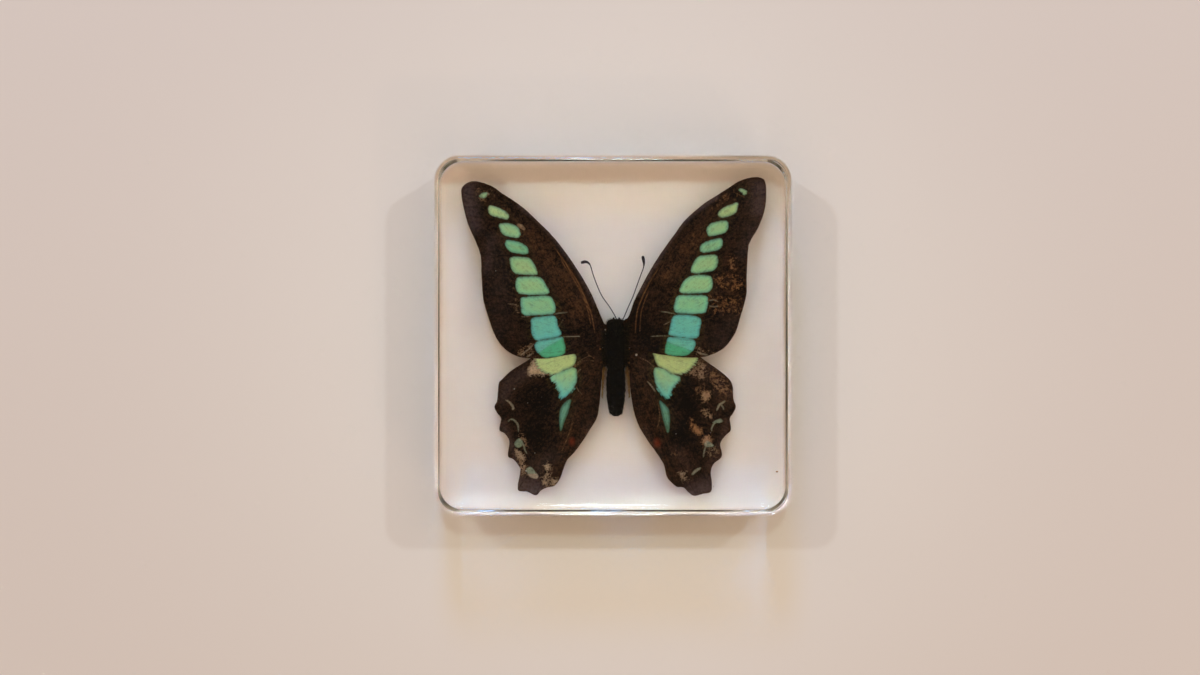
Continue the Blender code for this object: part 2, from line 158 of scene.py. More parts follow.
# Veins of the left wings. The right wings carry the same pattern mirrored.
FOREWING_VEINS = [
    [(-14, 4), (-27, 13), (-41, 30), (-51, 50), (-64, 74), (-76, 88), (-86, 104), (-92, 111)],
    [(-14, 12), (-24, 30), (-30, 44), (-41, 64), (-57, 88), (-74, 106), (-92, 122), (-120, 141)],
    [(-74, 106), (-86, 108), (-92, 111)],
    [(-14, -6), (-50, -14), (-90, -18)],
    [(-27, 13), (-54, 0), (-81, -4), (-118, -3)],
    [(-41, 30), (-58, 23.5), (-78, 21), (-93, 19.5), (-127, 20)],
    [(-51, 50), (-65, 42), (-80, 41), (-100, 41), (-132, 41)],
    [(-64, 74), (-76, 61.5), (-90, 61), (-104, 61), (-134, 60)],
    [(-76, 88), (-87, 80.5), (-108, 81), (-135, 82)],
    [(-82, 98), (-98, 98), (-116, 98), (-141, 100)],
    [(-86, 104), (-102, 115), (-122, 117), (-149, 121)],
    [(-92, 111), (-108, 131), (-128, 137), (-153, 144)],
]
HINDWING_VEINS = [
    [(-12, -14), (-45, -20), (-80, -30), (-117, -46)],
    [(-12, -16), (-46, -34), (-66, -39), (-90, -56), (-121, -70)],
    [(-66, -39), (-66, -58), (-90, -77), (-116, -92)],
    [(-66, -58), (-74, -84), (-90, -103), (-108, -118)],
    [(-12, -22), (-38, -56), (-47, -61), (-60, -62), (-66, -58)],
    [(-47, -61), (-57, -88), (-75, -120), (-98, -152)],
    [(-38, -56), (-44, -66), (-51, -90), (-62, -122), (-80, -158)],
    [(-12, -26), (-22, -52), (-32, -80), (-44, -105), (-57, -145)],
]

# Window spots: outline, how yellow its green is, how blue it is at its top and at its bottom, and how dim.
WINDOWS = {
    "forewing_left": [
        ([(-136.5, 140.5), (-134.5, 143), (-131.5, 144), (-128.5, 144), (-128.5, 141), (-131, 138.5),
          (-134, 138.5)], 0.8, 0.1, 0.1, 0.25),
        ([(-127, 124.5), (-127.5, 128.5), (-126, 131), (-122.5, 130.5), (-116.5, 128.5), (-110, 125),
          (-107, 122), (-107, 119), (-109, 117), (-113, 118), (-119, 119.5), (-124.5, 121.5)],
         0.85, 0.05, 0.0, 0.1),
        ([(-116, 108), (-116.5, 111.5), (-115, 113), (-108, 113.5), (-102.5, 112), (-97.5, 109),
          (-95.5, 105), (-95.5, 101.5), (-98, 99), (-103, 99.5), (-110, 101), (-114, 104)],
         0.38, 0.1, 0.05, 0.12),
        ([(-110.5, 92), (-110, 95.5), (-108, 96.5), (-103, 96), (-96.5, 94.5), (-91.5, 92), (-88, 88.5),
          (-87.5, 85), (-88.5, 83), (-92.5, 82.5), (-99, 83.5), (-105, 85), (-108.5, 88)],
         0.1, 0.2, 0.1, 0.22),
        ([(-106, 76.5), (-105, 79), (-100.5, 80), (-91.5, 79.5), (-86.5, 78.5), (-82.5, 74), (-79, 67),
          (-78.5, 63.5), (-80, 62), (-88, 62), (-96.5, 62.5), (-101.5, 64), (-104.5, 69)],
         0.4, 0.1, 0.05, 0.05),
        ([(-100, 52), (-99.5, 57), (-97, 59.5), (-88, 60), (-78, 60), (-73, 57), (-70, 52), (-67, 46.5),
          (-67.5, 43.5), (-71.5, 42.5), (-81.5, 42), (-93, 42.5), (-98, 44.5), (-99.5, 48)],
         0.28, 0.15, 0.15, 0.0),
        ([(-95, 32), (-95, 36.5), (-94, 39), (-86.5, 40), (-73, 41), (-65.5, 40), (-62.5, 36.5),
          (-60.5, 30.5), (-60.5, 25.5), (-63, 23), (-71.5, 22), (-83, 21.5), (-90.5, 21.5), (-94, 24),
          (-94.5, 28)], 0.15, 0.15, 0.35, 0.0),
        ([(-84.5, 12), (-85, 16.5), (-82.5, 19), (-75, 20), (-66.5, 21), (-61, 20.5), (-59, 17),
          (-58, 10.5), (-55, 5), (-55.5, 1.5), (-63, -1), (-71.5, -2), (-79, -3.5), (-83, 0.5),
          (-84.5, 5.5)], 0.0, 0.75, 1.0, 0.0),
        ([(-81, -9.5), (-80, -6), (-75.5, -3.5), (-68, -2.5), (-58, -0.5), (-53, -0.5), (-51.5, -6),
          (-50.5, -11), (-51, -16), (-55, -19), (-61.5, -20.3), (-70.5, -20.8), (-75.5, -18),
          (-79, -14.5)], 0.0, 0.9, 0.9, 0.1),
    ],
    "forewing_right": [
        ([(122.5, 147), (125, 148), (128, 147), (131, 145), (130, 142.5), (127.5, 141.5),
          (126.5, 143.5), (124.5, 145)], 0.8, 0.1, 0.1, 0.3),
        ([(102, 122), (103.5, 125.5), (108.5, 129.5), (114.5, 132), (120, 134), (122, 133), (121.5, 129),
          (120, 124.5), (116.5, 122), (111.5, 120), (106, 119), (103, 120)], 0.85, 0.05, 0.0, 0.1),
        ([(90.5, 106.5), (92, 110.5), (96, 113.5), (103.5, 115.5), (109.5, 116), (112, 114),
          (112, 109.5), (110.5, 105.5), (106, 103), (99.5, 101.5), (93.5, 100.5), (91.5, 103)],
         0.4, 0.1, 0.05, 0.12),
        ([(84, 87), (85, 91.5), (89.5, 94.5), (96, 97), (103.5, 98.5), (106, 97), (106.5, 93),
          (105, 89), (101, 86.5), (94.5, 85), (88.5, 84), (85, 85)], 0.25, 0.15, 0.1, 0.15),
        ([(75, 65.5), (76, 70.5), (79.5, 77), (83.5, 80.5), (91, 81.5), (98.5, 82), (101.5, 79.5),
          (102, 74.5), (100, 69), (96, 66), (88.5, 64.5), (80, 63.5), (76.5, 64)], 0.35, 0.1, 0.05, 0.05),
        ([(63.5, 46.5), (65, 50.5), (68.5, 56.5), (73.5, 60), (80, 61.5), (90, 61.5), (95, 60),
          (96.5, 54.5), (96, 49), (92.5, 45), (85, 44), (73.5, 43.5), (65.5, 44)], 0.28, 0.1, 0.15, 0.0),
        ([(58, 29), (59, 34.5), (60.5, 39.5), (64.5, 41.5), (75, 41.5), (87, 41.5), (91.5, 39.5),
          (92, 34), (90.5, 27), (88.5, 24), (80, 23), (68.5, 23.5), (60, 24.5)], 0.12, 0.2, 0.35, 0.0),
        ([(53, 4), (54.5, 10.5), (56, 18), (59.5, 21.5), (68.5, 22), (78.5, 21), (84.5, 18), (85, 13),
          (83.5, 6.5), (82.5, 0.5), (78.5, -1.5), (68.5, -1), (55, 1.5)], 0.0, 0.85, 1.0, 0.0),
        ([(49, -14.5), (50, -8), (52.5, -1), (58.5, -0.5), (67, -1), (77, -3), (79.5, -6), (78.5, -11),
          (75, -15.5), (70, -18.5), (60, -19), (51, -17.5)], 0.0, 0.9, 0.9, 0.1),
    ],
    "hindwing_left": [
        ([(-81, -17), (-81, -22.5), (-79.5, -28), (-77, -32.5), (-70, -36), (-64, -38), (-56, -36.5),
          (-52, -33), (-44, -30), (-40.5, -25), (-40.5, -18), (-50, -13), (-66, -11)], 1.0, -0.2, 0.1, 0.0),
        ([(-64, -37.5), (-66, -42.5), (-64, -45.5), (-60.5, -46.5), (-59.5, -50), (-56.5, -55.5),
          (-56, -60), (-53, -61), (-46.5, -57), (-42, -51), (-39.5, -45), (-39, -39), (-40, -32),
          (-46, -31), (-54, -34.5)], 0.42, 0.0, 1.05, 0.0),
        ([(-45, -62.5), (-49.5, -64.5), (-54, -69.5), (-56, -75), (-56.5, -82.5), (-56, -90),
          (-55, -94.5), (-52, -86), (-48.5, -77.5), (-46, -68.5)], 0.25, 0.6, 0.4, 1.0),
    ],
    "hindwing_right": [
        ([(38.5, -15), (38.5, -20), (40, -25), (43, -29.5), (50.5, -33), (56, -36.5), (62, -38),
          (69.5, -36), (75.5, -31), (80.5, -25), (82, -20), (80, -15), (60, -11)], 1.0, -0.2, 0.1, 0.0),
        ([(39, -31), (38, -36), (40, -47.5), (43, -54.5), (48.5, -60), (53, -61.5), (55, -57.5),
          (57, -51.5), (60, -47.5), (63, -45), (63.5, -40.5), (62, -39), (55, -36.5), (49, -32.5),
          (43.5, -31)], 0.42, 0.0, 1.05, 0.0),
        ([(43.5, -64), (47, -66), (52, -71), (53.5, -76), (54, -85), (53, -95), (51, -95), (48, -85),
          (45.5, -75)], 0.25, 0.6, 0.4, 1.0),
    ],
}
# The hidden hindwing edge shows through the last forewing window as a thin line with green behind it.
SPLITS = {
    "forewing_left": [((-84, -22), (-70, -11), (-56, -3), (-46, 2))],
    "forewing_right": [((45, -1.5), (56, -7), (68, -11), (84, -18))],
}

# Strokes: route, half width at the middle, and a tone of 0 for pale green, 1 for tan and 2 for orange.
LINES = {
    "forewing_left": [
        ([(-53, 0), (-45, 0.4), (-36, 0.4)], 0.25, 0.6),
        ([(-62, 22.6), (-55, 24), (-48, 24.5)], 0.32, 0.5),
        ([(-108, 32.8), (-104, 32.6), (-99, 32)], 0.25, 1.3),
        ([(-95, 19.8), (-90, 20), (-85, 20)], 0.2, 1.2),
        ([(-60, 8), (-56, 12), (-53, 17)], 0.1, 1.4),
        ([(-21, 4), (-24.5, 22.5), (-30, 37), (-37, 52.5), (-45, 65.5), (-54, 79), (-62, 90)], 0.4, 2.0),
        ([(-25, 12), (-29, 30), (-36, 46), (-46, 63), (-56, 78)], 0.2, 2.0),
        ([(-98, 112), (-95, 110.5), (-91, 107)], 1.8, 1.6),
        ([(-129, 144), (-126.5, 142)], 0.8, 0.9),
        ([(-96, -19), (-88, -13), (-82, -7)], 0.5, 0.9),
        ([(-90, -21), (-84, -17)], 0.6, 0.9),
    ],
    "forewing_right": [
        ([(35, 0.5), (44, 0.9), (53, 0.8)], 0.35, 0.5),
        ([(44, 25.5), (52, 24.5), (60, 22.6)], 0.35, 0.5),
        ([(48, 12), (55.5, 16)], 0.2, 1.2),
        ([(19.5, 4), (20.5, 20), (23, 31), (27.5, 42), (34, 55), (42, 68)], 0.4, 2.0),
        ([(24, 6), (25, 22), (28, 34), (33, 46)], 0.2, 2.0),
        ([(93, 36), (98, 37), (102, 35)], 0.35, 0.6),
        ([(93, 31), (98, 30), (103, 31)], 0.35, 0.6),
        ([(81, -15), (86, -17), (92, -18)], 0.5, 0.9),
    ],
    "hindwing_left": [
        ([(-110.5, -63), (-107, -65), (-103.5, -69), (-102.5, -72), (-104, -72.5)], 1.0, 0.75),
        ([(-108, -84.5), (-105, -82.5), (-101.5, -83.5), (-98.5, -87), (-97.5, -91), (-97.5, -95)],
         0.75, 0.35),
        ([(-101, -108), (-99, -104), (-95.5, -103.5), (-92.5, -108), (-91, -113), (-89, -117.5)], 0.7, 0.4),
        ([(-26, -19), (-33, -22), (-42, -29)], 0.02, 1.7),
        ([(-22, -24), (-32, -24), (-42, -31)], 0.05, 1.7),
        ([(-30, -14), (-27, -18), (-22, -21)], 0.05, 1.8),
        ([(-40, -37), (-35, -32)], 0.3, 1.3),
        ([(-40, -50), (-34, -58)], 0.1, 1.4),
        ([(-54, -114), (-48, -100), (-43, -84)], 0.15, 1.8),
    ],
    "hindwing_right": [
        ([(101, -74), (103, -69), (106.5, -66), (110, -64)], 1.0, 0.7),
        ([(104, -67), (107, -70), (108, -73)], 0.6, 0.7),
        ([(107, -84), (103, -83.5), (98.5, -86.5), (96, -91), (96, -95)], 0.75, 0.35),
        ([(92, -107), (89, -112), (87.5, -120.5)], 0.6, 0.5),
        ([(76, -138), (80, -134), (85, -131)], 1.3, 0.5),
        ([(22, -20), (31, -24), (39, -31)], 0.1, 1.6),
        ([(31, -44), (36, -49.5), (39.5, -55)], 0.5, 0.9),
        ([(41, -92), (44, -80), (42, -66)], 0.15, 1.8),
    ],
}
# Pale green spots among the strokes: outline and how tan it is.
CRESCENTS = {
    "hindwing_left": [
        ([(-101.5, -107), (-98.5, -102.5), (-95.5, -102), (-93, -106), (-95, -110), (-99, -110.5)], 0.0),
        ([(-90, -133), (-86, -130), (-82, -133), (-80, -137.5), (-84, -138), (-88, -136.5)], 0.1),
        ([(-88, -136.5), (-83, -137), (-79.5, -136.5), (-77.5, -140), (-80, -142), (-86, -140)], 1.0),
    ],
    "hindwing_right": [
        ([(97, -85.5), (101, -83), (105, -82), (106.5, -85), (102, -86)], 0.15),
        ([(88.5, -107.5), (91, -104), (94.5, -105.5), (98, -109), (95, -110), (91, -110)], 0.15),
    ],
}

# Rubbed places: outline, how strong, and how orange.
WORN = {
    "forewing_left": [
        ([(-140, 147), (-130, 148), (-122, 145), (-124, 138), (-133, 134), (-139, 138)], 0.35, 0.7),
        ([(-104, 57), (-100, 58), (-100, 45), (-104, 46)], 0.3, 0.6),
        ([(-101, 38), (-95, 38), (-95, 22), (-102, 23)], 0.34, 0.5),
        ([(-98, -11), (-84, -6), (-80, -17), (-86, -21), (-100, -19)], 0.45, 0.4),
    ],
    "forewing_right": [
        ([(97, 60), (110, 63), (124, 62), (129, 52), (122, 45), (108, 46), (98, 50)], 0.45, 1.0),
        ([(92, 41), (105, 43), (126, 38), (125, 24), (108, 22), (93, 25)], 0.4, 1.0),
        ([(112, 82), (119, 81), (120, 70), (114, 67)], 0.45, 0.9),
        ([(92, 134), (118, 148), (128, 140), (112, 136), (96, 128)], 0.3, 0.9),
        ([(77, 104), (86, 100), (84, 90), (76, 92)], 0.26, 0.9),
        ([(77, -10), (90, -12), (102, -16), (92, -20), (80, -19)], 0.45, 0.4),
    ],
    "hindwing_left": [
        ([(-82, -22), (-88, -33), (-85, -39), (-79, -38), (-72, -39), (-69, -36.5), (-76, -32), (-80, -27)],
         1.0, 0.2),
        ([(-98, -96), (-92, -98), (-88, -108), (-93, -112), (-96, -104)], 0.5, 0.5),
        ([(-101, -112), (-94, -115), (-90, -121), (-93, -124), (-99, -120)], 0.8, 0.3),
        ([(-99, -119), (-92, -123), (-88, -134), (-94, -140), (-97, -130)], 0.55, 0.35),
        ([(-71, -127), (-67.5, -126), (-65.5, -130), (-68, -134), (-71.5, -133)], 0.8, 0.3),
        ([(-72, -134), (-66, -134), (-60, -148), (-68, -152), (-76, -146)], 0.55, 0.3),
        ([(-62, -142), (-57, -144), (-60, -150), (-70, -152)], 0.7, 0.2),
    ],
    "hindwing_right": [
        ([(84.5, -57), (88, -54), (95, -53.5), (95.5, -58), (91.5, -65), (86, -66.5)], 0.75, 0.6),
        ([(84.5, -73.5), (88.5, -70), (94, -75), (98, -80), (92, -82), (87, -77)], 0.62, 0.5),
        ([(73.5, -84), (76, -82.5), (80, -88), (85, -92), (87, -97), (82, -99), (77, -94), (74, -90)],
         0.75, 0.9),
        ([(70, -32), (82, -24), (92, -30), (90, -42), (80, -42), (72, -38)], 0.55, 0.4),
        ([(90, -30), (100, -35), (113, -46), (114, -58), (104, -56), (92, -44)], 0.5, 0.7),
        ([(78, -52), (90, -48), (88, -60), (80, -62)], 0.4, 0.7),
        ([(86, -103), (91, -98), (96, -102), (93, -109), (88, -109)], 0.85, 0.7),
        ([(90, -112), (100, -110), (102, -118), (92, -122)], 0.45, 0.3),
        ([(54, -115), (60, -113), (62, -119), (56, -120)], 0.4, 0.6),
        ([(62, -136), (70, -133), (74, -141), (66, -146)], 0.55, 0.2),
    ],
}

# Places where the scales came off in thin curls.
CURLS = {
    "forewing_right": [
        [(97, 60), (110, 63), (124, 62), (130, 52), (122, 44), (108, 46), (98, 50)],
        [(92, 41), (105, 43), (124, 38), (124, 24), (108, 22), (93, 25)],
        [(110, 83), (120, 82), (121, 70), (113, 66)],
        [(96, 130), (118, 146), (130, 138), (112, 134)],
    ],
    "hindwing_right": [
        [(84, -72), (90, -70), (95, -76), (97, -83), (90, -84)],
        [(86, -30), (112, -46), (114, -60), (96, -56), (80, -46)],
    ],
    "hindwing_left": [
        [(-100, -112), (-88, -112), (-86, -126), (-98, -124)],
        [(-72, -132), (-62, -134), (-60, -148), (-72, -150)],
        [(-100, -34), (-112, -50), (-100, -56), (-88, -42)],
    ],
}

# Soft changes of the ground: route, reach, and how rusty, dark or grey it makes the wing.
TONES = {
    "forewing_left": [
        ([(-88, 100), (-70, 80), (-50, 50), (-38, 24)], 17, 0.62, 0.0, 0.0),
        ([(-100, 118), (-110, 126)], 12, 0.3, 0.0, 0.0),
        ([(-118, 8), (-116, 50), (-118, 90)], 22, 0.0, 0.15, 0.14),
        ([(-128, 66), (-124, 96)], 12, 0.0, 0.0, 0.3),
        ([(-34, -8), (-30, 14)], 16, 0.0, 0.35, 0.0),
        ([(-20, 34), (-39, 68), (-66, 104), (-96, 132)], 4.5, 0.0, 0.0, 0.7),
        ([(-148, 150), (-146, 130), (-142, 112)], 14, 0.0, 0.0, 0.6),
    ],
    "forewing_right": [
        ([(84, 100), (66, 82), (50, 60)], 18, 0.6, 0.0, 0.0),
        ([(56, 50), (36, 26)], 14, 0.25, 0.25, 0.0),
        ([(108, 132), (94, 122)], 12, 0.4, 0.0, 0.0),
        ([(112, 70), (116, 34)], 15, 0.35, 0.0, 0.0),
        ([(116, 14), (104, -2)], 16, 0.0, 0.15, 0.15),
        ([(128, 84), (136, 108)], 12, 0.1, 0.0, 0.25),
        ([(144, 150), (142, 126)], 14, 0.3, 0.0, 0.5),
        ([(34, -8), (28, 20)], 18, 0.0, 0.6, 0.0),
        ([(22, 43), (46, 85), (72, 119), (100, 140)], 4.5, 0.0, 0.0, 0.8),
    ],
    "hindwing_left": [
        ([(-24, -30), (-34, -64), (-46, -100), (-54, -126)], 13, 0.34, 0.3, 0.0),
        ([(-34, -106), (-28, -94)], 10, 0.7, 0.0, 0.2),
        ([(-92, -36), (-106, -46), (-112, -60)], 11, 0.25, 0.0, 0.45),
        ([(-72, -58), (-82, -84), (-76, -106)], 24, 0.0, 0.7, 0.0),
        ([(-62, -118), (-76, -128)], 14, 0.1, 0.0, 0.2),
        ([(-92, -150), (-76, -154)], 15, 0.1, 0.0, 1.0),
        ([(-112, -86), (-104, -112), (-96, -136)], 6, 0.2, 0.0, 0.4),
    ],
    "hindwing_right": [
        ([(20, -30), (30, -64), (42, -100), (52, -126)], 13, 0.34, 0.3, 0.0),
        ([(34, -108), (28, -94)], 8, 0.6, 0.0, 0.2),
        ([(84, -30), (104, -42), (112, -58)], 15, 0.6, 0.0, 0.2),
        ([(66, -56), (74, -76), (66, -100)], 20, 0.0, 0.75, 0.0),
        ([(92, -150), (76, -156)], 15, 0.1, 0.0, 1.0),
        ([(112, -86), (104, -112), (94, -130)], 8, 0.4, 0.0, 0.3),
        ([(62, -118), (72, -130)], 14, 0.3, 0.0, 0.2),
    ],
}

# Dull red spots, each a centre and a size, and their width over their height.
RED_SPOTS = {
    "hindwing_left": [(-44, -105, 2.2)],
    "hindwing_right": [(41, -106, 2.8)],
}
RED_SPOT_SQUASH = 0.75

# Light dots of dust, each a place and a size.
DOTS = [
    (20.5, -18, 1.1),
    (-101.5, -52, 0.65), (-88, -66, 0.45), (-81, -116, 0.5), (-90, -134, 0.7), (-10.5, 7, 0.8),
    (-10.5, 3, 0.7), (60, -97, 0.4), (-74, -60, 0.3), (95, -96, 0.4), (-51, -149, 0.5),
    (-84, -40, 0.4), (34, 58, 0.4), (140, 30, 0.3), (-120, 66, 0.3),
]

# Tan joints of the wings, each a place and a size.
JOINTS = [(12.8, -26, 1.0), (13, -12, 0.9), (-15.5, -12, 0.9), (-14, -26, 1.1), (-22, -21, 0.5)]

# Body profile from head to tail: place along the axis, half width and half height, all in units.
BODY_PROFILE = [
    (17.8, 2.5, 1.2), (17.2, 6.0, 3.2), (15.5, 8.6, 5.2), (13.0, 9.6, 6.4), (10.0, 10.2, 6.8),
    (6.5, 10.6, 7.0), (4.0, 11.0, 7.8), (1.0, 11.8, 9.2), (-4.0, 12.8, 10.6), (-11.0, 13.0, 11.0),
    (-18.0, 12.6, 10.2), (-24.0, 11.4, 8.8), (-29.0, 9.4, 7.4), (-32.0, 8.2, 6.8),
]
ABDOMEN_START = -32.0
ABDOMEN_END = -79.5
ABDOMEN_SEGMENTS = 8
ABDOMEN_HALF_WIDTH = 9.7
ABDOMEN_HALF_HEIGHT = 8.2
BODY_DROP = -0.0006
BODY_SIDES = 30

# Eyes, palps and folded legs. Places are in units beside and along the axis. The heights of eyes
# and palps are in metres, and those of legs in units.
HEAD_SHIFT = 0.5
EYE_RADIUS = 0.00098
EYE_SHAPE = (0.82, 1.0, 0.95, 1.0)
EYE_PLACE = (5.6, 11.5, 0.0002)
PALP_ROUTE = [(2.2, 13, -0.0003), (3.0, 17.0, -0.0001), (2.6, 19.4, 0.0002)]
PALP_RADII = [0.00042, 0.00036, 0.00012]
LEG_ROOTS = (0, -9, -18)
LEG_ROUTE = [(4, 0, -8), (9, -3, -12.5), (7, -11, -14), (4, -17, -13)]
LEG_RADII = [0.00028, 0.00022, 0.00017, 0.00012]

# Hair: how thick it is, where the tufts and the fringe grow, and where the neck and the tail begin.
BODY_HAIR_WIDTH = 0.000014
TUFT_WIDTH = 0.000018
FRINGE_WIDTH = 0.000016
FRINGE_LENGTH = 0.0013
TUFT_RUN = (-30, 10)
TUFT_SIDE = (8, 12.5)
TUFT_HEIGHT = 0.0009
FRINGE_START = -26
FRINGE_RUN = 34
NECK = 8
TAIL = -62

ANTENNA_RADIUS = 0.000105
ANTENNA_RING = 0.000008
CLUB_SWELL = 0.00025
CLUB_LENGTH = 11.5
CLUB_TIP_RADIUS = 0.00010

ANTENNA_LEFT = [(1, 14), (0, 19), (-6, 29.5), (-14, 41), (-19, 52), (-23, 63), (-25, 70), (-27, 73.5),
                (-30.5, 75), (-35, 74)]
ANTENNA_RIGHT = [(5, 14), (8, 19.5), (12.5, 30), (17, 40), (21, 51), (25, 62), (27.5, 69), (28, 74),
                 (26.8, 81)]


# Specks caught in the resin: place, height over the wings and radius.
SPECKS = [
    (160, -134, 0.0035, 0.00017), (155, -60, 0.001, 0.00007), (-148, -120, 0.002, 0.00006),
    (40, 120, 0.003, 0.00005), (-60, -140, 0.004, 0.00006), (98, -150, -0.002, 0.00007),
    (-20, 140, 0.004, 0.00005), (130, -120, 0.003, 0.00005),
]

# Block: steps round a corner and an edge, and how far from a rounding the spare points lie that
# keep the shading of the flat faces even.
CORNER_STEPS = 20
EDGE_STEPS = 14
CORNER_SPARE = 0.0008
EDGE_SPARE = 0.0006

# Studio: the floor, the light all round with its dark spot at the zenith, and the lamps. Each lamp
# has its name, the side that it leans to, how far it leans in degrees, its light and its share of size.
FLOOR_HALF = 1.5
FLOOR_GAP = 0.00004
DOME_LEVEL = 0.38
HOLE_LEVEL = 0.06
HOLE_HEIGHT = 0.986
HOLE_SOFTNESS = 0.008
LAMPS = (
    ("lamp_left", (-54, 40), 41.4, "cool", 1.0),
    ("lamp_right", (56, 40), 42.1, "cool", 1.0),
    ("lamp_warm", (64, -86), 54.6, "warm", 1.0),
    ("window", (-10, 122), 58.0, "sky", 5.0),
    ("pool", (0, 10), 20.0, "pool", 2.4),
)
SENSOR_WIDTH = 36.0


def screen(red, green, blue):
    """Turn a colour as seen on a screen, 0 to 255, into shader values."""
    values = []
    for part in (red, green, blue):
        share = part / 255
        values.append(share / 12.92 if share <= 0.04045 else ((share + 0.055) / 1.055) ** 2.4)
    return (*values, 1.0)


class Wire:
    """A shader socket that can be written in Python arithmetic."""

    def __init__(self, tree, socket):
        self.tree = tree
        self.socket = socket

    def math(self, operation, *values, clamp=False):
        """Return the result of one Math node."""
        settings = {"operation": operation, "use_clamp": clamp}
        return add_node(self.tree, "ShaderNodeMath", settings, dict(enumerate(values)))

    def __add__(self, other):
        return self.math("ADD", self, other)

    def __sub__(self, other):
        return self.math("SUBTRACT", self, other)

    def __mul__(self, other):
        return self.math("MULTIPLY", self, other)

    def __truediv__(self, other):
        return self.math("DIVIDE", self, other)

    def __rsub__(self, other):
        return self.math("SUBTRACT", other, self)

    def __rtruediv__(self, other):
        return self.math("DIVIDE", other, self)

    def __neg__(self):
        return self.math("MULTIPLY", self, -1.0)

    __radd__ = __add__
    __rmul__ = __mul__

    def clamp(self):
        """Hold the value between 0 and 1."""
        return self.math("ADD", self, 0.0, clamp=True)

    def within(self, softness):
        """Return 1 where a signed distance is inside an outline, with a soft edge."""
        return (0.5 - self / (2 * softness)).clamp()


def add_node(tree, kind, settings=None, values=None, output=0):
    """Add a node, set its options first, then feed its inputs with values or wires."""
    node = tree.nodes.new(kind)
    for key, value in (settings or {}).items():
        setattr(node, key, value)
    for key, value in (values or {}).items():
        if isinstance(value, Wire):
            tree.links.new(value.socket, node.inputs[key])
        else:
            node.inputs[key].default_value = value
    return Wire(tree, node.outputs[output])


def blend_colour(tree, share, low, high):
    """Mix two colours by a share."""
    return add_node(tree, "ShaderNodeMix", {"data_type": "RGBA"}, {0: share, 6: low, 7: high}, 2)


def read_layer(tree, name):
    """Return a number stored on the mesh."""
    return add_node(tree, "ShaderNodeAttribute", {"attribute_name": name}, None, 2)


def speckle(tree, place, scale, detail=3.0, roughness=0.55):
    """Return noise around a place, from about 0.2 to 0.8."""
    values = {"Vector": place, "Scale": scale, "Detail": detail, "Roughness": roughness}
    return add_node(tree, "ShaderNodeTexNoise", None, values, 0)


def new_surface(name):
    """Return an empty node material, its tree and its Principled node."""
    material = bpy.data.materials.new(name)
    material.use_nodes = True
    tree = material.node_tree
    return material, tree, tree.nodes["Principled BSDF"]


def link_surface(tree, shader, values):
    """Feed the surface's inputs with values or wires."""
    for key, value in values.items():
        if isinstance(value, Wire):
            tree.links.new(value.socket, shader.inputs[key])
        else:
            shader.inputs[key].default_value = value


def bump(tree, height, strength, distance):
    """Return a normal bent by a height."""
    values = {"Strength": strength, "Distance": distance, "Height": height}
    return add_node(tree, "ShaderNodeBump", None, values)


def add_piece(name, mesh, material, nodes=()):
    """Put a mesh in the scene as a piece of the specimen."""
    mesh.materials.clear()
    mesh.materials.append(material)
    item = bpy.data.objects.new(name, mesh)
    bpy.context.scene.collection.objects.link(item)
    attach(item, "root")
    if nodes:
        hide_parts(*nodes)
    return item


def smooth_loop(outline, steps, closed=True):
    """Run a smooth curve through points of any number of axes."""
    points = np.array(outline, float)
    count = len(points)
    spans = count if closed else count - 1
    loop = []
    for index in range(spans):
        places = [index - 1, index, index + 1, index + 2]
        if closed:
            places = [place % count for place in places]
        else:
            places = [min(max(place, 0), count - 1) for place in places]
        before, start, end, after = points[places]
        for step in range(steps):
            t = step / steps
            point = 2 * start + (end - before) * t + (2 * before - 5 * start + 4 * end - after) * t * t
            loop.append((point + (3 * start - before - 3 * end + after) * t ** 3) / 2)
    if not closed:
        loop.append(points[-1])
    return np.array(loop)


def run_distance(points, start, end):
    """Return distances to a straight run, and how far along it the nearest place lies."""
    run = end - start
    offset = points - start
    share = np.clip(offset @ run / max(run @ run, 1e-9), 0, 1)
    return np.linalg.norm(offset - share[:, None] * run, axis=1), share


def outline_distance(points, outline):
    """Return distances to a closed outline, below zero inside it."""
    nearest = np.full(len(points), FAR)
    inside = np.zeros(len(points), bool)
    for start, end in zip(outline, np.roll(outline, -1, axis=0)):
        nearest = np.minimum(nearest, run_distance(points, start, end)[0])
        rise = end[1] - start[1]
        if abs(rise) > 1e-9:
            crosses = (start[1] > points[:, 1]) != (end[1] > points[:, 1])
            crossing = start[0] + (points[:, 1] - start[1]) * (end[0] - start[0]) / rise
            inside ^= crosses & (points[:, 0] < crossing)
    return np.where(inside, -nearest, nearest)


def route_distance(points, route):
    """Return distances to an open route."""
    nearest = np.full(len(points), FAR)
    for start, end in zip(route, route[1:]):
        nearest = np.minimum(nearest, run_distance(points, start, end)[0])
    return nearest


def line_distance(points, route, half_width):
    """Return distances to a pale line that thins out towards both ends."""
    route = smooth_loop(route, 4, closed=False)
    nearest = np.full(len(points), FAR)
    count = len(route) - 1
    for index in range(count):
        away, share = run_distance(points, route[index], route[index + 1])
        along = (index + share) / count
        width = half_width * np.sqrt(np.clip(4 * along * (1 - along), 0.02, 1))
        nearest = np.minimum(nearest, away - width)
    return nearest


def spot_distance(points, spots, squash=1.0):
    """Return distances to round spots, each a place and a size."""
    nearest = np.full(len(points), FAR)
    for u, v, size in spots:
        nearest = np.minimum(nearest, np.hypot(points[:, 0] - u, (points[:, 1] - v) * squash) - size)
    return nearest


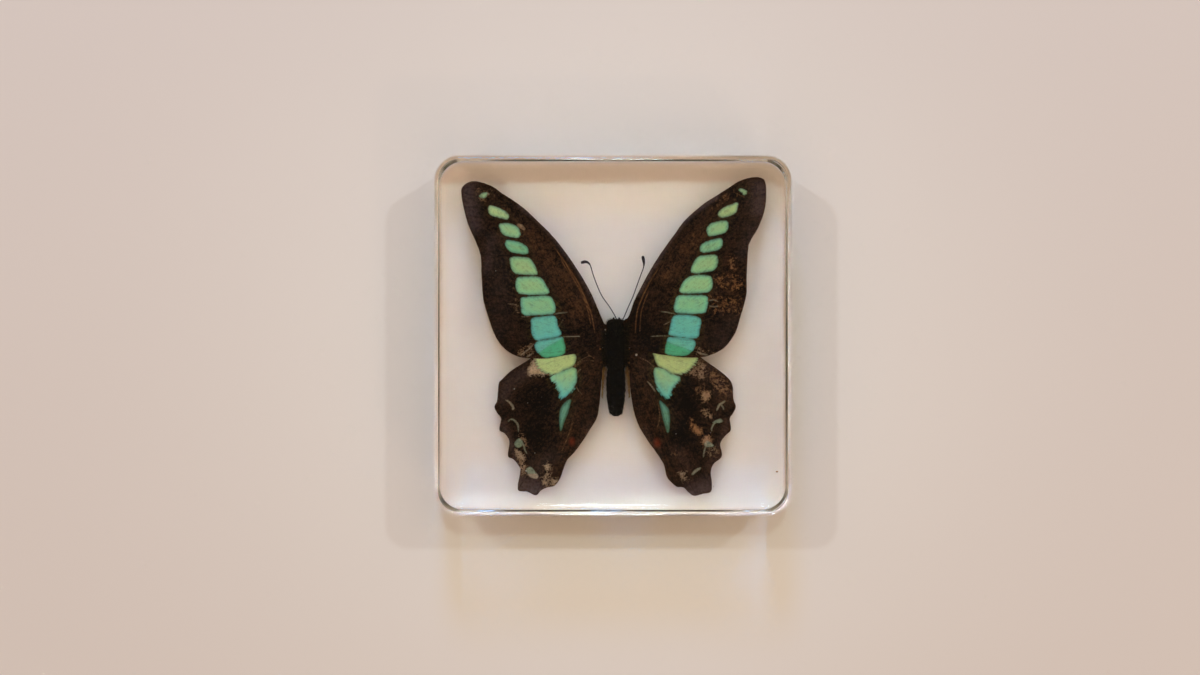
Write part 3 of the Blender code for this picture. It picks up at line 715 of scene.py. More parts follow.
def sheet_points(rim):
    """Return an even lattice inside a closed outline."""
    low, high = rim.min(axis=0), rim.max(axis=0)
    rows = int((high[1] - low[1]) / (SHEET_PITCH * ROW_SHARE)) + 1
    columns = int((high[0] - low[0]) / SHEET_PITCH) + 2
    row, column = np.mgrid[0:rows, 0:columns]
    x = low[0] + (column + 0.5 * (row % 2)) * SHEET_PITCH
    y = low[1] + row * SHEET_PITCH * ROW_SHARE
    points = np.stack([x.ravel(), y.ravel()], axis=1)
    return points[outline_distance(points, rim) < -SHEET_PITCH * 0.55]


def stroke_layers(name, points):
    """Return distances to the pale strokes and spots, and how tan the nearest is."""
    nearest = np.full(len(points), FAR)
    tan = np.zeros(len(points))
    for outline, warmth in CRESCENTS.get(name, []):
        away = outline_distance(points, smooth_loop(outline, 4))
        tan = np.where(away < nearest, warmth, tan)
        nearest = np.minimum(nearest, away)
    for route, half_width, warmth in LINES[name]:
        away = line_distance(points, route, half_width)
        tan = np.where(away < nearest, warmth, tan)
        nearest = np.minimum(nearest, away)
    return nearest, tan


def window_layers(name, points):
    """Return the windows' distance, yellowness, blueness and dimness."""
    count = len(points)
    window, yellow, blue, dim = np.full(count, FAR), np.zeros(count), np.zeros(count), np.zeros(count)
    for outline, warm, cool_top, cool_bottom, dimness in WINDOWS[name]:
        rim = smooth_loop(outline, 4)
        away = outline_distance(points, rim)
        nearer = away < window
        top, bottom = rim[:, 1].max(), rim[:, 1].min()
        down = np.clip((top - points[:, 1]) / (top - bottom), 0, 1)
        window = np.where(nearer, away, window)
        yellow = np.where(nearer, warm, yellow)
        blue = np.where(nearer, cool_top + (cool_bottom - cool_top) * down, blue)
        dim = np.where(nearer, dimness, dim)
    split, deep = np.full(count, 1e3), np.zeros(count)
    for route in SPLITS.get(name, []):
        route = smooth_loop(route, 4, closed=False)
        split = np.minimum(split, route_distance(points, route))
        edge = np.interp(points[:, 0], route[:, 0], route[:, 1])
        deep = np.clip((edge - points[:, 1]) / 2 + 0.5, 0, 1) * (points[:, 1] < 2)
    return {"window": window, "window_yellow": yellow, "window_blue": blue, "window_dim": dim,
            "window_deep": deep, "split": split}


def wing_layers(name, points, rim, veins):
    """Return the numbers that the wing's colours are made from, one for each point."""
    count = len(points)
    layers = {"rim": -outline_distance(points, rim)}
    vein = np.full(count, FAR)
    for route in veins:
        vein = np.minimum(vein, route_distance(points, smooth_loop(route, 4, closed=False)))
    layers["vein"] = vein
    layers.update(window_layers(name, points))
    layers["line"], layers["line_tan"] = stroke_layers(name, points)
    worn, orange = np.zeros(count), np.full(count, 0.5)
    for outline, strength, warmth in WORN[name]:
        away = outline_distance(points, smooth_loop(outline, 3))
        soft = strength * np.clip(0.62 - away / WORN_REACH, 0, 1)
        orange = np.where(soft > worn, warmth, orange)
        worn = np.maximum(worn, soft)
    layers["worn"] = worn
    curls = np.zeros(count)
    for outline in CURLS.get(name, []):
        away = outline_distance(points, smooth_loop(outline, 3))
        curls = np.maximum(curls, np.clip(0.5 - away / CURL_REACH, 0, 1))
    layers["curls"] = curls
    layers["worn_orange"] = orange
    rust, dark, grey = np.zeros(count), np.zeros(count), np.zeros(count)
    for route, reach, rusty, darker, greyer in TONES[name]:
        away = route_distance(points, smooth_loop(route, 4, closed=False)) / reach
        soft = np.clip(1.15 - away, 0, 1) ** 1.5
        rust = np.maximum(rust, soft * rusty)
        dark = np.maximum(dark, soft * darker)
        grey = np.maximum(grey, soft * greyer)
    layers.update({"rust": rust, "dark": dark, "grey": grey})
    layers["red"] = spot_distance(points, RED_SPOTS.get(name, []), RED_SPOT_SQUASH)
    layers["dot"] = spot_distance(points, DOTS)
    layers["joint"] = spot_distance(points, JOINTS)
    root = np.array((math.copysign(WING_ROOT[0], points[:, 0].mean()), WING_ROOT[1]))
    layers["turn"] = np.arctan2(points[:, 1] - root[1], np.abs(points[:, 0] - root[0]))
    layers["reach"] = np.hypot(*(points - root).T)
    return {key: np.clip(values, -1e3, 1e3) for key, values in layers.items()}


def wing_height(name, points, layers):
    """Return the height of the sheet's middle at each point."""
    share = np.abs(points[:, 0]) / WING_SPAN
    overlap = np.clip((OVERLAP_REACH - np.abs(points[:, 1] - OVERLAP_MIDDLE)) / OVERLAP_SOFTNESS, 0, 1)
    if name.startswith("forewing"):
        height = FOREWING_LEVEL + FOREWING_RISE * share ** 2 - OVERLAP_DIP * overlap
    else:
        height = HINDWING_LEVEL + HINDWING_DROP * share ** 2 + OVERLAP_DIP * overlap
    ridge = np.clip(1 - layers["vein"] / 1.6, 0, 1)
    trough = np.clip(layers["vein"] / 9, 0, 1)
    height = height + VEIN_HEIGHT * ridge - TROUGH_DEPTH * trough
    waves = [noise.noise(Vector((x / WAVE_PITCH, y / WAVE_PITCH, 3.0))) for x, y in points]
    return height + WAVE_HEIGHT * np.array(waves)


def uneven_rim(outline):
    """Return the wing's smooth outline with small irregular waves."""
    rim = smooth_loop(outline, 10)
    wobble = [noise.noise(Vector((x / RIM_WOBBLE_PITCH, y / RIM_WOBBLE_PITCH, 9.0))) for x, y in rim]
    outward = np.roll(rim, -1, axis=0) - np.roll(rim, 1, axis=0)
    outward = np.stack([outward[:, 1], -outward[:, 0]], axis=1)
    outward /= np.maximum(np.linalg.norm(outward, axis=1), 1e-9)[:, None]
    return rim + outward * RIM_WOBBLE * np.array(wobble)[:, None]


def flat_sheet(rim):
    """Return points and upward triangles that fill a closed outline."""
    count = len(rim)
    inner = sheet_points(rim)
    places = [Vector(point) for point in np.concatenate([rim, inner])]
    edges = [(index, (index + 1) % count) for index in range(count)]
    found = delaunay_2d_cdt(places, edges, [list(range(count))], 1, 1e-5)
    points = np.array([(point.x, point.y) for point in found[0]])
    faces = [list(face) for face in found[2]]
    corners = points[faces[0]]
    if np.cross(corners[1] - corners[0], corners[2] - corners[0]) < 0:
        faces = [face[::-1] for face in faces]
    return points, faces


def store_layer(mesh, key, upper, under):
    """Store a number for each point of the upper face and of the one under it."""
    layer = mesh.attributes.new(key, 'FLOAT', 'POINT')
    layer.data.foreach_set("value", np.concatenate([upper, under]).astype(np.float32))


def build_wing_mesh(name, outline, veins):
    """Make a thin closed sheet with two faces, raised veins and stored layers."""
    rim = uneven_rim(outline)
    points, faces = flat_sheet(rim)
    layers = wing_layers(name, points, rim, veins)
    middle = wing_height(name, points, layers)
    half = SHEET_THICKNESS / 2 * np.clip(layers["rim"] / 2.5, 0.25, 1)
    half = half + VEIN_HEIGHT * np.clip(1 - layers["vein"] / 0.9, 0, 1)
    total = len(points)
    flat = points * UNIT + np.array((AXIS.x, AXIS.y))
    upper = np.column_stack([flat, AXIS.z + middle + half])
    under = np.column_stack([flat, AXIS.z + middle - half])
    shell = list(faces) + [[place + total for place in face[::-1]] for face in faces]
    uses = {}
    for face in faces:
        for start, end in zip(face, face[1:] + face[:1]):
            uses[(start, end)] = True
    for start, end in uses:
        if (end, start) not in uses:
            shell.append([end, start, start + total, end + total])
    mesh = bpy.data.meshes.new(name + "_sheet")
    mesh.from_pydata(np.concatenate([upper, under]).tolist(), [], shell)
    for key, values in layers.items():
        store_layer(mesh, key, values, values)
    store_layer(mesh, "under", np.zeros(total), np.ones(total))
    mesh.shade_smooth()
    mesh.update()
    return mesh


def wing_ground(tree, look, textures):
    """Return the dark scales with their rusty, black and grey parts."""
    streaks, cloud, grain, blotch, fine = textures
    rim = read_layer(tree, "rim")
    vein = read_layer(tree, "vein")
    rust = read_layer(tree, "rust")
    dark = read_layer(tree, "dark")
    light = 0.32 - dark * 0.5 + (streaks - 0.5) * 1.1 + (cloud - 0.5) * 1.0
    light = light + (grain - 0.5) * 1.6 + (fine - 0.5) * 1.8
    ground = blend_colour(tree, light.clamp(), tuple(look.ground_dark), tuple(look.ground_brown))
    mottle = (blotch - 0.5) * 2.4 + (streaks - 0.5) * 1.2 + (fine - 0.5) * 2.4 + (grain - 0.5) * 1.6
    rusty = (rust * (0.38 + mottle)).clamp()
    ground = blend_colour(tree, rusty, ground, tuple(look.ground_rust))
    grey = (read_layer(tree, "grey") * (0.7 + (fine - 0.5) * 1.6)).clamp()
    ground = blend_colour(tree, grey, ground, tuple(look.ground_bloom))
    beside = ((vein / VEIN_GLOW).clamp() - (vein / VEIN_GLOW_REACH).clamp() * 0.8) * rust * 0.35
    ground = blend_colour(tree, beside.clamp(), ground, tuple(look.ground_rust))
    vein_tone = (1.0 - vein / VEIN_LINE).clamp() * 0.6
    ground = blend_colour(tree, vein_tone, ground, tuple(look.ground_dark))
    fringe = (1.0 - rim / RIM_LINE).clamp() * 0.5 * (read_layer(tree, "reach") / 60.0 - 0.3).clamp()
    return blend_colour(tree, fringe, ground, tuple(look.rim_brown))


def wing_marks(tree, look, ground, textures):
    """Return the ground with its rubbed places, pale strokes and red spot."""
    streaks, cloud, grain, blotch, fine = textures
    worn = read_layer(tree, "worn")
    level = worn * 1.8 + (blotch - 0.5) * 1.6 + (fine - 0.5) * 3.0 + (grain - 0.5) * 1.6 - 0.72
    patches = (level * 1.1).clamp() * (worn * 4.0).clamp()
    orange = read_layer(tree, "worn_orange")
    colour = blend_colour(tree, orange, tuple(look.worn_tan), tuple(look.worn_orange))
    colour = blend_colour(tree, ((fine - 0.42) * 2.6).clamp() * 0.75, colour, tuple(look.ground_rust))
    ground = blend_colour(tree, patches * (0.5 + worn * 0.5), ground, colour)
    curls = (1.0 - (blotch - 0.5).math("ABSOLUTE") / 0.035).clamp() * (fine * 2.6 - 0.7).clamp()
    curls = curls * (read_layer(tree, "curls") * 1.4).clamp() * 0.6
    ground = blend_colour(tree, curls, ground, tuple(look.worn_orange))
    line = read_layer(tree, "line") + (grain - 0.5) * 1.4 + (fine - 0.5) * 1.6
    tan = read_layer(tree, "line_tan")
    colour = blend_colour(tree, tan.clamp(), tuple(look.line_green), tuple(look.worn_tan))
    colour = blend_colour(tree, (tan - 1.0).clamp(), colour, tuple(look.worn_orange))
    stroke = line.within(STROKE_EDGE) * (0.5 + (fine - 0.5) * 0.9).clamp()
    ground = blend_colour(tree, stroke, ground, colour)
    red = read_layer(tree, "red") + (blotch - 0.5) * 3.0 + (fine - 0.5) * 1.5
    return blend_colour(tree, red.within(RED_EDGE) * (0.2 + fine * 0.5), ground, tuple(look.red_spot))


def wing_windows(tree, look, textures, is_forewing):
    """Return where the windows are, and their green to blue colour."""
    streaks, cloud, grain, blotch, fine = textures
    window = read_layer(tree, "window")
    vein = read_layer(tree, "vein")
    edge = window + (grain - 0.5) * 0.9 + (fine - 0.5) * 0.9 + (streaks - 0.5) * 0.8
    if not is_forewing:
        bright = (1.0 - read_layer(tree, "window_dim") * 2.0).clamp()
        outer = bright * (read_layer(tree, "reach") / 30.0 - 1.3).clamp()
        edge = edge + ((streaks - 0.5) * 9.0 + (blotch - 0.5) * 6.0) * outer
    mask = edge.within(STROKE_EDGE)
    blue = read_layer(tree, "window_blue")
    depth = (-window / WINDOW_DEPTH).clamp()
    warmth = read_layer(tree, "window_yellow") + (depth - 0.45) * 0.35 * (1.0 - blue) + (cloud - 0.5) * 0.4
    colour = blend_colour(tree, warmth.clamp(), tuple(look.window_green), tuple(look.window_yellow))
    coolness = blue + (0.3 - depth) * 0.25 + (blotch - 0.5) * 0.4
    colour = blend_colour(tree, coolness.clamp(), colour, tuple(look.window_blue))
    colour = blend_colour(tree, read_layer(tree, "window_deep"), colour, tuple(look.window_deep))
    worked = ((streaks - 0.5) * 2.5 + (fine - 0.5) * 2.2 + (grain - 0.5) * 1.4 + 0.06).clamp() * 0.5
    shade = (1.0 + window / WINDOW_RIM).clamp() * 0.5 + worked + read_layer(tree, "window_dim") * 0.6
    colour = blend_colour(tree, shade.clamp() * 0.8, colour, tuple(look.window_shade))
    window_vein = (1.0 - vein / WINDOW_VEIN).clamp() * (0.5 if is_forewing else 0.25)
    colour = blend_colour(tree, window_vein, colour, tuple(look.ground_brown))
    split = (1.0 - read_layer(tree, "split") / SPLIT_LINE).clamp() * 0.6
    colour = blend_colour(tree, split, colour, tuple(look.ground_brown))
    return mask, colour


def wing_surface(name, look, is_forewing):
    """Return the wing's scales: dark ground, green to blue windows, pale marks and wear."""
    material, tree, shader = new_surface(name)
    place = add_node(tree, "ShaderNodeTexCoord", None, None, 3)
    under = read_layer(tree, "under")
    vein = read_layer(tree, "vein")
    window = read_layer(tree, "window")
    way = {0: read_layer(tree, "turn") * 55.0, 1: read_layer(tree, "reach") * 0.06, 2: under}
    streaks = speckle(tree, add_node(tree, "ShaderNodeCombineXYZ", None, way), 1.0, 4.0, 0.65)
    cloud = speckle(tree, place, CLOUD_SCALE, 3.0, 0.5)
    grain = speckle(tree, place, GRAIN_SCALE, 2.0, 0.6)
    blotch = speckle(tree, place, BLOTCH_SCALE, 3.0, 0.6)
    fine = speckle(tree, place, FINE_SCALE, 3.0, 0.65)
    textures = (streaks, cloud, grain, blotch, fine)
    ground = wing_ground(tree, look, textures)
    near = (1.0 - read_layer(tree, "reach") / 95.0).clamp() * 0.9 + 0.2
    uneven = 0.25 + (streaks - 0.5) * 3.4 + (fine - 0.5) * 2.4
    haze = ((1.0 - window / HAZE_REACH).clamp() * near * uneven).clamp()
    ground = blend_colour(tree, haze * 0.85, ground, tuple(look.haze_olive))
    ground = wing_marks(tree, look, ground, textures)

    mask, colour = wing_windows(tree, look, textures, is_forewing)
    surface = blend_colour(tree, mask, ground, colour)

    dot = read_layer(tree, "dot")
    surface = blend_colour(tree, dot.within(0.4) * (1.0 - under) * 0.85, surface, tuple(look.dust))
    joint = read_layer(tree, "joint") + (fine - 0.5) * 1.5
    surface = blend_colour(tree, joint.within(0.5) * 0.85, surface, tuple(look.worn_orange))
    surface = blend_colour(tree, under * 0.25, surface, tuple(look.ground_bloom))
    roughness = 0.62 + (grain - 0.5) * 0.3 - mask * 0.12
    relief = grain * 0.5 + streaks * 0.5 + (1.0 - vein / 0.7).clamp() * 0.6
    link_surface(tree, shader, {
        "Base Color": surface,
        "Roughness": roughness,
        "IOR": SCALE_IOR,
        "Normal": bump(tree, relief, 0.4, SCALE_RELIEF),
    })
    return material


def body_profile(steps_each):
    """Return a smooth profile, with the abdomen's segments swelling between grooves."""
    profile = list(BODY_PROFILE)
    length = ABDOMEN_END - ABDOMEN_START
    steps = ABDOMEN_SEGMENTS * 2
    for step in range(1, steps):
        share = step / steps
        swell = math.sin(math.pi * (0.24 + 0.72 * share)) ** 0.32
        groove = 0.955 if step % 2 == 0 else 1.0
        width, height = ABDOMEN_HALF_WIDTH * swell * groove, ABDOMEN_HALF_HEIGHT * swell * groove
        profile.append((ABDOMEN_START + length * share, width, height))
    profile.append((ABDOMEN_END, 2.2, 1.8))
    return smooth_loop(profile, steps_each, closed=False)


def insect_point(u, v, height=0.0):
    """Return the place of a drawn point in the block."""
    return Vector((AXIS.x + u * UNIT, AXIS.y + v * UNIT, AXIS.z + height))


def join_rings(shape, rings):
    """Close a row of rings of vertices into one skin with two ends."""
    count = len(rings[0])
    for near, far in zip(rings, rings[1:]):
        for index in range(count):
            after = (index + 1) % count
            shape.faces.new((near[index], near[after], far[after], far[index]))
    shape.faces.new(rings[0])
    shape.faces.new(rings[-1])


def tube(shape, route, radii, sides):
    """Run a closed round tube along a route."""
    rings = []
    count = len(route)
    for index, point in enumerate(route):
        along = (route[min(index + 1, count - 1)] - route[max(index - 1, 0)]).normalized()
        side_way = along.cross(Vector((0, 0, 1)))
        if side_way.length < 0.05:
            side_way = along.cross(Vector((1, 0, 0)))
        side_way.normalize()
        upward = side_way.cross(along)
        ring = []
        for side in range(sides):
            angle = 2 * math.pi * side / sides
            offset = side_way * math.cos(angle) + upward * math.sin(angle)
            ring.append(shape.verts.new(point + offset * radii[index]))
        rings.append(ring)
    join_rings(shape, rings)


def add_hair(shape, root, direction, length, width, tint_layer, tint):
    """Add one tapered three-sided hair that curls a little."""
    side_way = direction.orthogonal().normalized()
    other = direction.cross(side_way)
    tip = root + direction * length
    middle = root + direction * length * 0.55 + side_way * length * 0.06
    base = []
    centre = []
    for step in range(3):
        angle = 2 * math.pi * step / 3
        offset = side_way * math.cos(angle) + other * math.sin(angle)
        base.append(shape.verts.new(root + offset * width))
        centre.append(shape.verts.new(middle + offset * width * 0.6))
    end = shape.verts.new(tip)
    for step in range(3):
        after = (step + 1) % 3
        shape.faces.new((base[step], base[after], centre[after], centre[step]))
        shape.faces.new((centre[step], centre[after], end))
    shape.faces.new(base[::-1])
    for vertex in base + centre + [end]:
        vertex[tint_layer] = tint


def finish_mesh(name, shape, smooth=True):
    """Turn a bmesh into a mesh with its faces outward."""
    bmesh.ops.recalc_face_normals(shape, faces=shape.faces)
    mesh = bpy.data.meshes.new(name)
    shape.to_mesh(mesh)
    shape.free()
    if smooth:
        mesh.shade_smooth()
    return mesh


def add_trunk(shape, profile):
    """Add the head, the chest and the ringed abdomen as one slightly uneven skin."""
    rings = []
    for v, half_width, half_height in profile:
        ring = []
        for side in range(BODY_SIDES):
            angle = 2 * math.pi * side / BODY_SIDES
            rough = 1 + 0.08 * noise.noise(Vector((math.cos(angle) * 2, math.sin(angle) * 2, v / 4)))
            point = insect_point(half_width * rough * math.cos(angle), v, BODY_DROP)
            point.z += half_height * rough * UNIT * math.sin(angle)
            ring.append(shape.verts.new(point))
        rings.append(ring)
    join_rings(shape, rings)


def add_eye(shape, shine, side):
    """Add one round glossy eye."""
    u, v, height = EYE_PLACE
    found = bmesh.ops.create_icosphere(shape, subdivisions=3, radius=EYE_RADIUS)
    place = insect_point(side * u + HEAD_SHIFT, v, BODY_DROP + height)
    turn = Matrix.Translation(place) @ Matrix.Diagonal(EYE_SHAPE)
    bmesh.ops.transform(shape, matrix=turn, verts=found["verts"])
    for vertex in found["verts"]:
        vertex[shine] = 1.0


def build_body_mesh(look):
    """Make the hairy body: head with eyes and palps, chest with folded legs, ringed abdomen."""
    shape = bmesh.new()
    tint = shape.verts.layers.float.new("tint")
    shine = shape.verts.layers.float.new("shine")
    profile = body_profile(5)
    add_trunk(shape, profile)
    for side in (-1, 1):
        add_eye(shape, shine, side)
        route = [insect_point(side * u + HEAD_SHIFT, v, BODY_DROP + height) for u, v, height in PALP_ROUTE]
        tube(shape, route, PALP_RADII, 10)
        for root in LEG_ROOTS:
            route = [insect_point(side * u, root + v, BODY_DROP + low * UNIT) for u, v, low in LEG_ROUTE]
            tube(shape, route, LEG_RADII, 8)
    add_body_hair(shape, tint, profile, look)
    return finish_mesh("body_hair_mesh", shape)


def add_body_hair(shape, tint, profile, look):
    """Cover the head, the chest and the abdomen with short hair, long where the wings join."""
    dice = random.Random(11)
    for _ in range(look.hair_count):
        v, half_width, half_height = profile[dice.randrange(2, len(profile) - 2)]
        chest = v > ABDOMEN_START
        if not chest and dice.random() < 0.45:
            continue
        angle = dice.uniform(0, 2 * math.pi)
        out = Vector((math.cos(angle), 0, math.sin(angle)))
        root = insect_point(half_width * 0.97 * out.x, v + dice.uniform(-0.8, 0.8), BODY_DROP)
        root.z += half_height * 0.97 * UNIT * out.z
        back = dice.uniform(-0.9, 0.3) if chest else dice.uniform(-1.8, -0.9)
        if v > NECK:
            back = dice.uniform(0.1, 1.2)
        direction = (out + Vector((dice.uniform(-0.4, 0.4), back, dice.uniform(-0.4, 0.4)))).normalized()
        length = look.hair_length * (dice.uniform(0.5, 1.0) if chest else dice.uniform(0.2, 0.4))
        if v > NECK:
            length *= 0.55
        shade = dice.random() ** 3 * 0.5
        if chest and abs(out.x) > 0.8 and dice.random() < 0.06:
            shade = 1.0
        if v < TAIL and dice.random() < 0.08:
            shade = 1.5
        add_hair(shape, root, direction, length, BODY_HAIR_WIDTH, tint, shade)
    add_tufts(shape, tint, look, dice)


def add_tufts(shape, tint, look, dice):
    """Lay longer hair over the roots of the wings."""
    for index in range(look.tuft_count):
        side = 1 if index % 2 else -1
        v = dice.uniform(TUFT_RUN[0], TUFT_RUN[1] + side * 4)
        u = side * dice.uniform(*TUFT_SIDE) - 0.6
        root = insect_point(u, v, FOREWING_LEVEL + dice.uniform(0, TUFT_HEIGHT))
        ahead = dice.uniform(-0.9, 0.5) if v < TUFT_RUN[1] else dice.uniform(-0.2, 0.9)
        direction = Vector((side, ahead, 0.15)).normalized()
        shade = 0.8 if dice.random() < 0.03 else dice.random() ** 3 * 0.3
        length = look.hair_length * dice.uniform(0.6, 1.15)
        add_hair(shape, root, direction, length, TUFT_WIDTH, tint, shade)


def body_surface(look):
    """Return black hairy chitin, glossy on the eyes."""
    material, tree, shader = new_surface("body_hair")
    place = add_node(tree, "ShaderNodeTexCoord", None, None, 3)
    tint = read_layer(tree, "tint")
    shine = read_layer(tree, "shine")
    grain = speckle(tree, place, 3200.0, 3.0, 0.6)
    cloud = speckle(tree, place, 900.0, 2.0, 0.5)
    patches = (cloud * 1.5 - 0.5).clamp() * 0.5
    colour = blend_colour(tree, patches, tuple(look.body_black), tuple(look.body_brown))
    colour = blend_colour(tree, tint.clamp(), colour, tuple(look.hair_gold))
    colour = blend_colour(tree, ((tint - 1.0) * 2.0).clamp(), colour, tuple(look.dust))
    link_surface(tree, shader, {
        "Base Color": colour,
        "Roughness": 0.75 - shine * 0.5 + (grain - 0.5) * 0.2,
        "IOR": DRY_IOR,
        "Normal": bump(tree, grain * (1.0 - shine), 0.6, HAIR_RELIEF),
    })
    return material


def build_antenna_mesh(name, points):
    """Make one antenna with its small rings and its club."""
    route = smooth_loop(points, 14, closed=False)
    places = [insect_point(u, v) for u, v in route]
    lengths = [0.0]
    for start, end in zip(places, places[1:]):
        lengths.append(lengths[-1] + (end - start).length)
    radii = []
    for index, length in enumerate(lengths):
        left = lengths[-1] - length
        share = max(0.0, 1 - left / (CLUB_LENGTH * UNIT))
        swell = math.sin(math.pi * (0.5 * share + 0.32 * share ** 3)) if share > 0 else 0.0
        radii.append(ANTENNA_RADIUS + CLUB_SWELL * max(0.0, swell) + ANTENNA_RING * (index % 2))
    radii[-1] = CLUB_TIP_RADIUS
    shape = bmesh.new()
    tube(shape, places, radii, 14)
    return finish_mesh(name, shape)


def antenna_surface(look):
    """Return dark satin chitin with fine rings."""
    material, tree, shader = new_surface("antenna_shell")
    place = add_node(tree, "ShaderNodeTexCoord", None, None, 3)
    grain = speckle(tree, place, 4000.0, 2.0, 0.5)
    rings = (grain * 1.6 - 0.4).clamp()
    colour = blend_colour(tree, rings, tuple(look.antenna_dark), tuple(look.antenna_light))
    link_surface(tree, shader, {
        "Base Color": colour,
        "Roughness": 0.45 + (grain - 0.5) * 0.3,
        "IOR": DRY_IOR,
        "Normal": bump(tree, grain, 0.4, ANTENNA_RELIEF),
    })
    return material


def build_fringe_mesh(look):
    """Make the pale hairs between the inner edges of the hindwings and the abdomen."""
    shape = bmesh.new()
    tint = shape.verts.layers.float.new("tint")
    dice = random.Random(5)
    for side in (-1, 1):
        for _ in range(look.fringe_count):
            share = dice.random() ** 1.2
            v = FRINGE_START - FRINGE_RUN * share
            height = HINDWING_LEVEL + dice.uniform(-0.0001, 0.0001)
            root = insect_point(side * (13.2 + 1.2 * share), v, height)
            across, down = -side * dice.uniform(0.5, 1.0), -dice.uniform(0.7, 1.6)
            direction = Vector((across, down, dice.uniform(-0.25, 0.25))).normalized()
            length = (1.0 - 0.6 * share) * dice.uniform(0.8, 1.5) * FRINGE_LENGTH
            add_hair(shape, root, direction, length, FRINGE_WIDTH, tint, dice.random() ** 2)
    return finish_mesh("fringe", shape)


def fringe_surface(look):
    """Return tan hair."""
    material, tree, shader = new_surface("fringe_hair")
    tint = read_layer(tree, "tint")
    colour = blend_colour(tree, tint, tuple(look.hair_tan), tuple(look.hair_gold))
    link_surface(tree, shader, {"Base Color": colour, "Roughness": 0.6, "IOR": DRY_IOR})
    return material


def rounded_square(half_x, half_y, radius, steps):
    """Return a rectangle with round corners, anticlockwise, with a spare point beside each corner."""
    points = []
    for corner in range(4):
        sign_x = 1 if corner in (0, 3) else -1
        sign_y = 1 if corner in (0, 1) else -1
        start = corner * math.pi / 2
        centre = Vector((sign_x * (half_x - radius), sign_y * (half_y - radius)))
        arc = []
        for step in range(steps + 1):
            angle = start + step / steps * math.pi / 2
            arc.append(centre + radius * Vector((math.cos(angle), math.sin(angle))))
        points.append(arc[0] + CORNER_SPARE * Vector((math.sin(start), -math.cos(start))))
        points += arc
        after = start + math.pi / 2
        points.append(arc[-1] + CORNER_SPARE * Vector((-math.sin(after), math.cos(after))))
    return points


def block_levels(look):
    """Return heights through the block, each with how far its outline is drawn in."""
    low, high = LOWER_BOX[0][2], UPPER_BOX[1][2]
    levels = [(low, look.edge_radius + EDGE_SPARE)]
    for step in range(EDGE_STEPS + 1):
        angle = step / EDGE_STEPS * math.pi / 2
        drop = look.edge_radius * (1 - math.cos(angle))
        levels.append((low + drop, look.edge_radius * (1 - math.sin(angle))))
    levels.append((levels[-1][0] + EDGE_SPARE, 0.0))
    levels.append((high - look.crown_height - EDGE_SPARE, 0.0))
    for step in range(EDGE_STEPS + 1):
        angle = step / EDGE_STEPS * math.pi / 2
        drop = look.crown_height * (1 - math.sin(angle))
        levels.append((high - drop, look.crown_width * (1 - math.cos(angle))))
    levels.append((high, look.crown_width + EDGE_SPARE))
    return levels


def build_block_mesh(look):
    """Make the whole clear block with round corners and softly rounded edges."""
    half_x = (UPPER_BOX[1][0] - UPPER_BOX[0][0]) / 2
    half_y = (UPPER_BOX[1][1] - UPPER_BOX[0][1]) / 2
    shape = bmesh.new()
    rings = []
    for height, inset in block_levels(look):
        outline = rounded_square(half_x - inset, half_y - inset, look.corner_radius - inset, CORNER_STEPS)
        rings.append([shape.verts.new((point.x, point.y, height)) for point in outline])
    join_rings(shape, rings)
    return finish_mesh("block_mesh", shape)


def resin_surface(look):
    """Return clear cast resin: plain transmission, with a faint warm tint in its depth."""
    material, tree, shader = new_surface("clear_resin")
    place = add_node(tree, "ShaderNodeTexCoord", None, None, 3)
    film = speckle(tree, place, 90.0, 4.0, 0.6)
    link_surface(tree, shader, {
        "Base Color": (1.0, 1.0, 1.0, 1.0),
        "Transmission Weight": 1.0,
        "IOR": look.resin_ior,
        "Roughness": (film * 0.03 - 0.012).clamp(),
    })
    depth = add_node(tree, "ShaderNodeVolumeAbsorption", None,
                     {"Color": tuple(look.resin_tint), "Density": look.resin_density})
    output = tree.nodes["Material Output"]
    tree.links.new(depth.socket, output.inputs["Volume"])
    return material


def build_speck_mesh():
    """Make the few dark specks and dust grains caught in the resin."""
    shape = bmesh.new()
    dice = random.Random(3)
    for u, v, height, size in SPECKS:
        found = bmesh.ops.create_icosphere(shape, subdivisions=2, radius=size)
        for vertex in found["verts"]:
            vertex.co *= dice.uniform(0.75, 1.25)
            vertex.co.x *= 1.5
        bmesh.ops.translate(shape, verts=found["verts"], vec=insect_point(u, v, height))
    return finish_mesh("specks", shape)


def speck_surface(look):
    """Return brown dust."""
    material, tree, shader = new_surface("dust_speck")
    place = add_node(tree, "ShaderNodeTexCoord", None, None, 3)
    grain = speckle(tree, place, 5000.0, 2.0, 0.5)
    colour = blend_colour(tree, grain, tuple(look.ground_dark), tuple(look.worn_orange))
    link_surface(tree, shader, {"Base Color": colour, "Roughness": 0.8, "IOR": DRY_IOR})
    return material


def colour_property(name, description, value):
    """Return a colour that a user can change."""
    return bpy.props.FloatVectorProperty(
        name=name, description=description, subtype='COLOR', size=4, min=0.0, max=1.0, default=value)


def length_property(name, description, value):
    """Return a length that a user can change."""
    return bpy.props.FloatProperty(
        name=name, description=description, subtype='DISTANCE', unit='LENGTH', min=0.0, default=value)


def power_property(name, description, value):
    """Return a lamp's power that a user can change."""
    return bpy.props.FloatProperty(
        name=name, description=description, subtype='POWER', unit='POWER', min=0.0, default=value)


def count_property(name, description, value):
    """Return a number of hairs that a user can change."""
    return bpy.props.IntProperty(name=name, description=description, min=0, default=value)


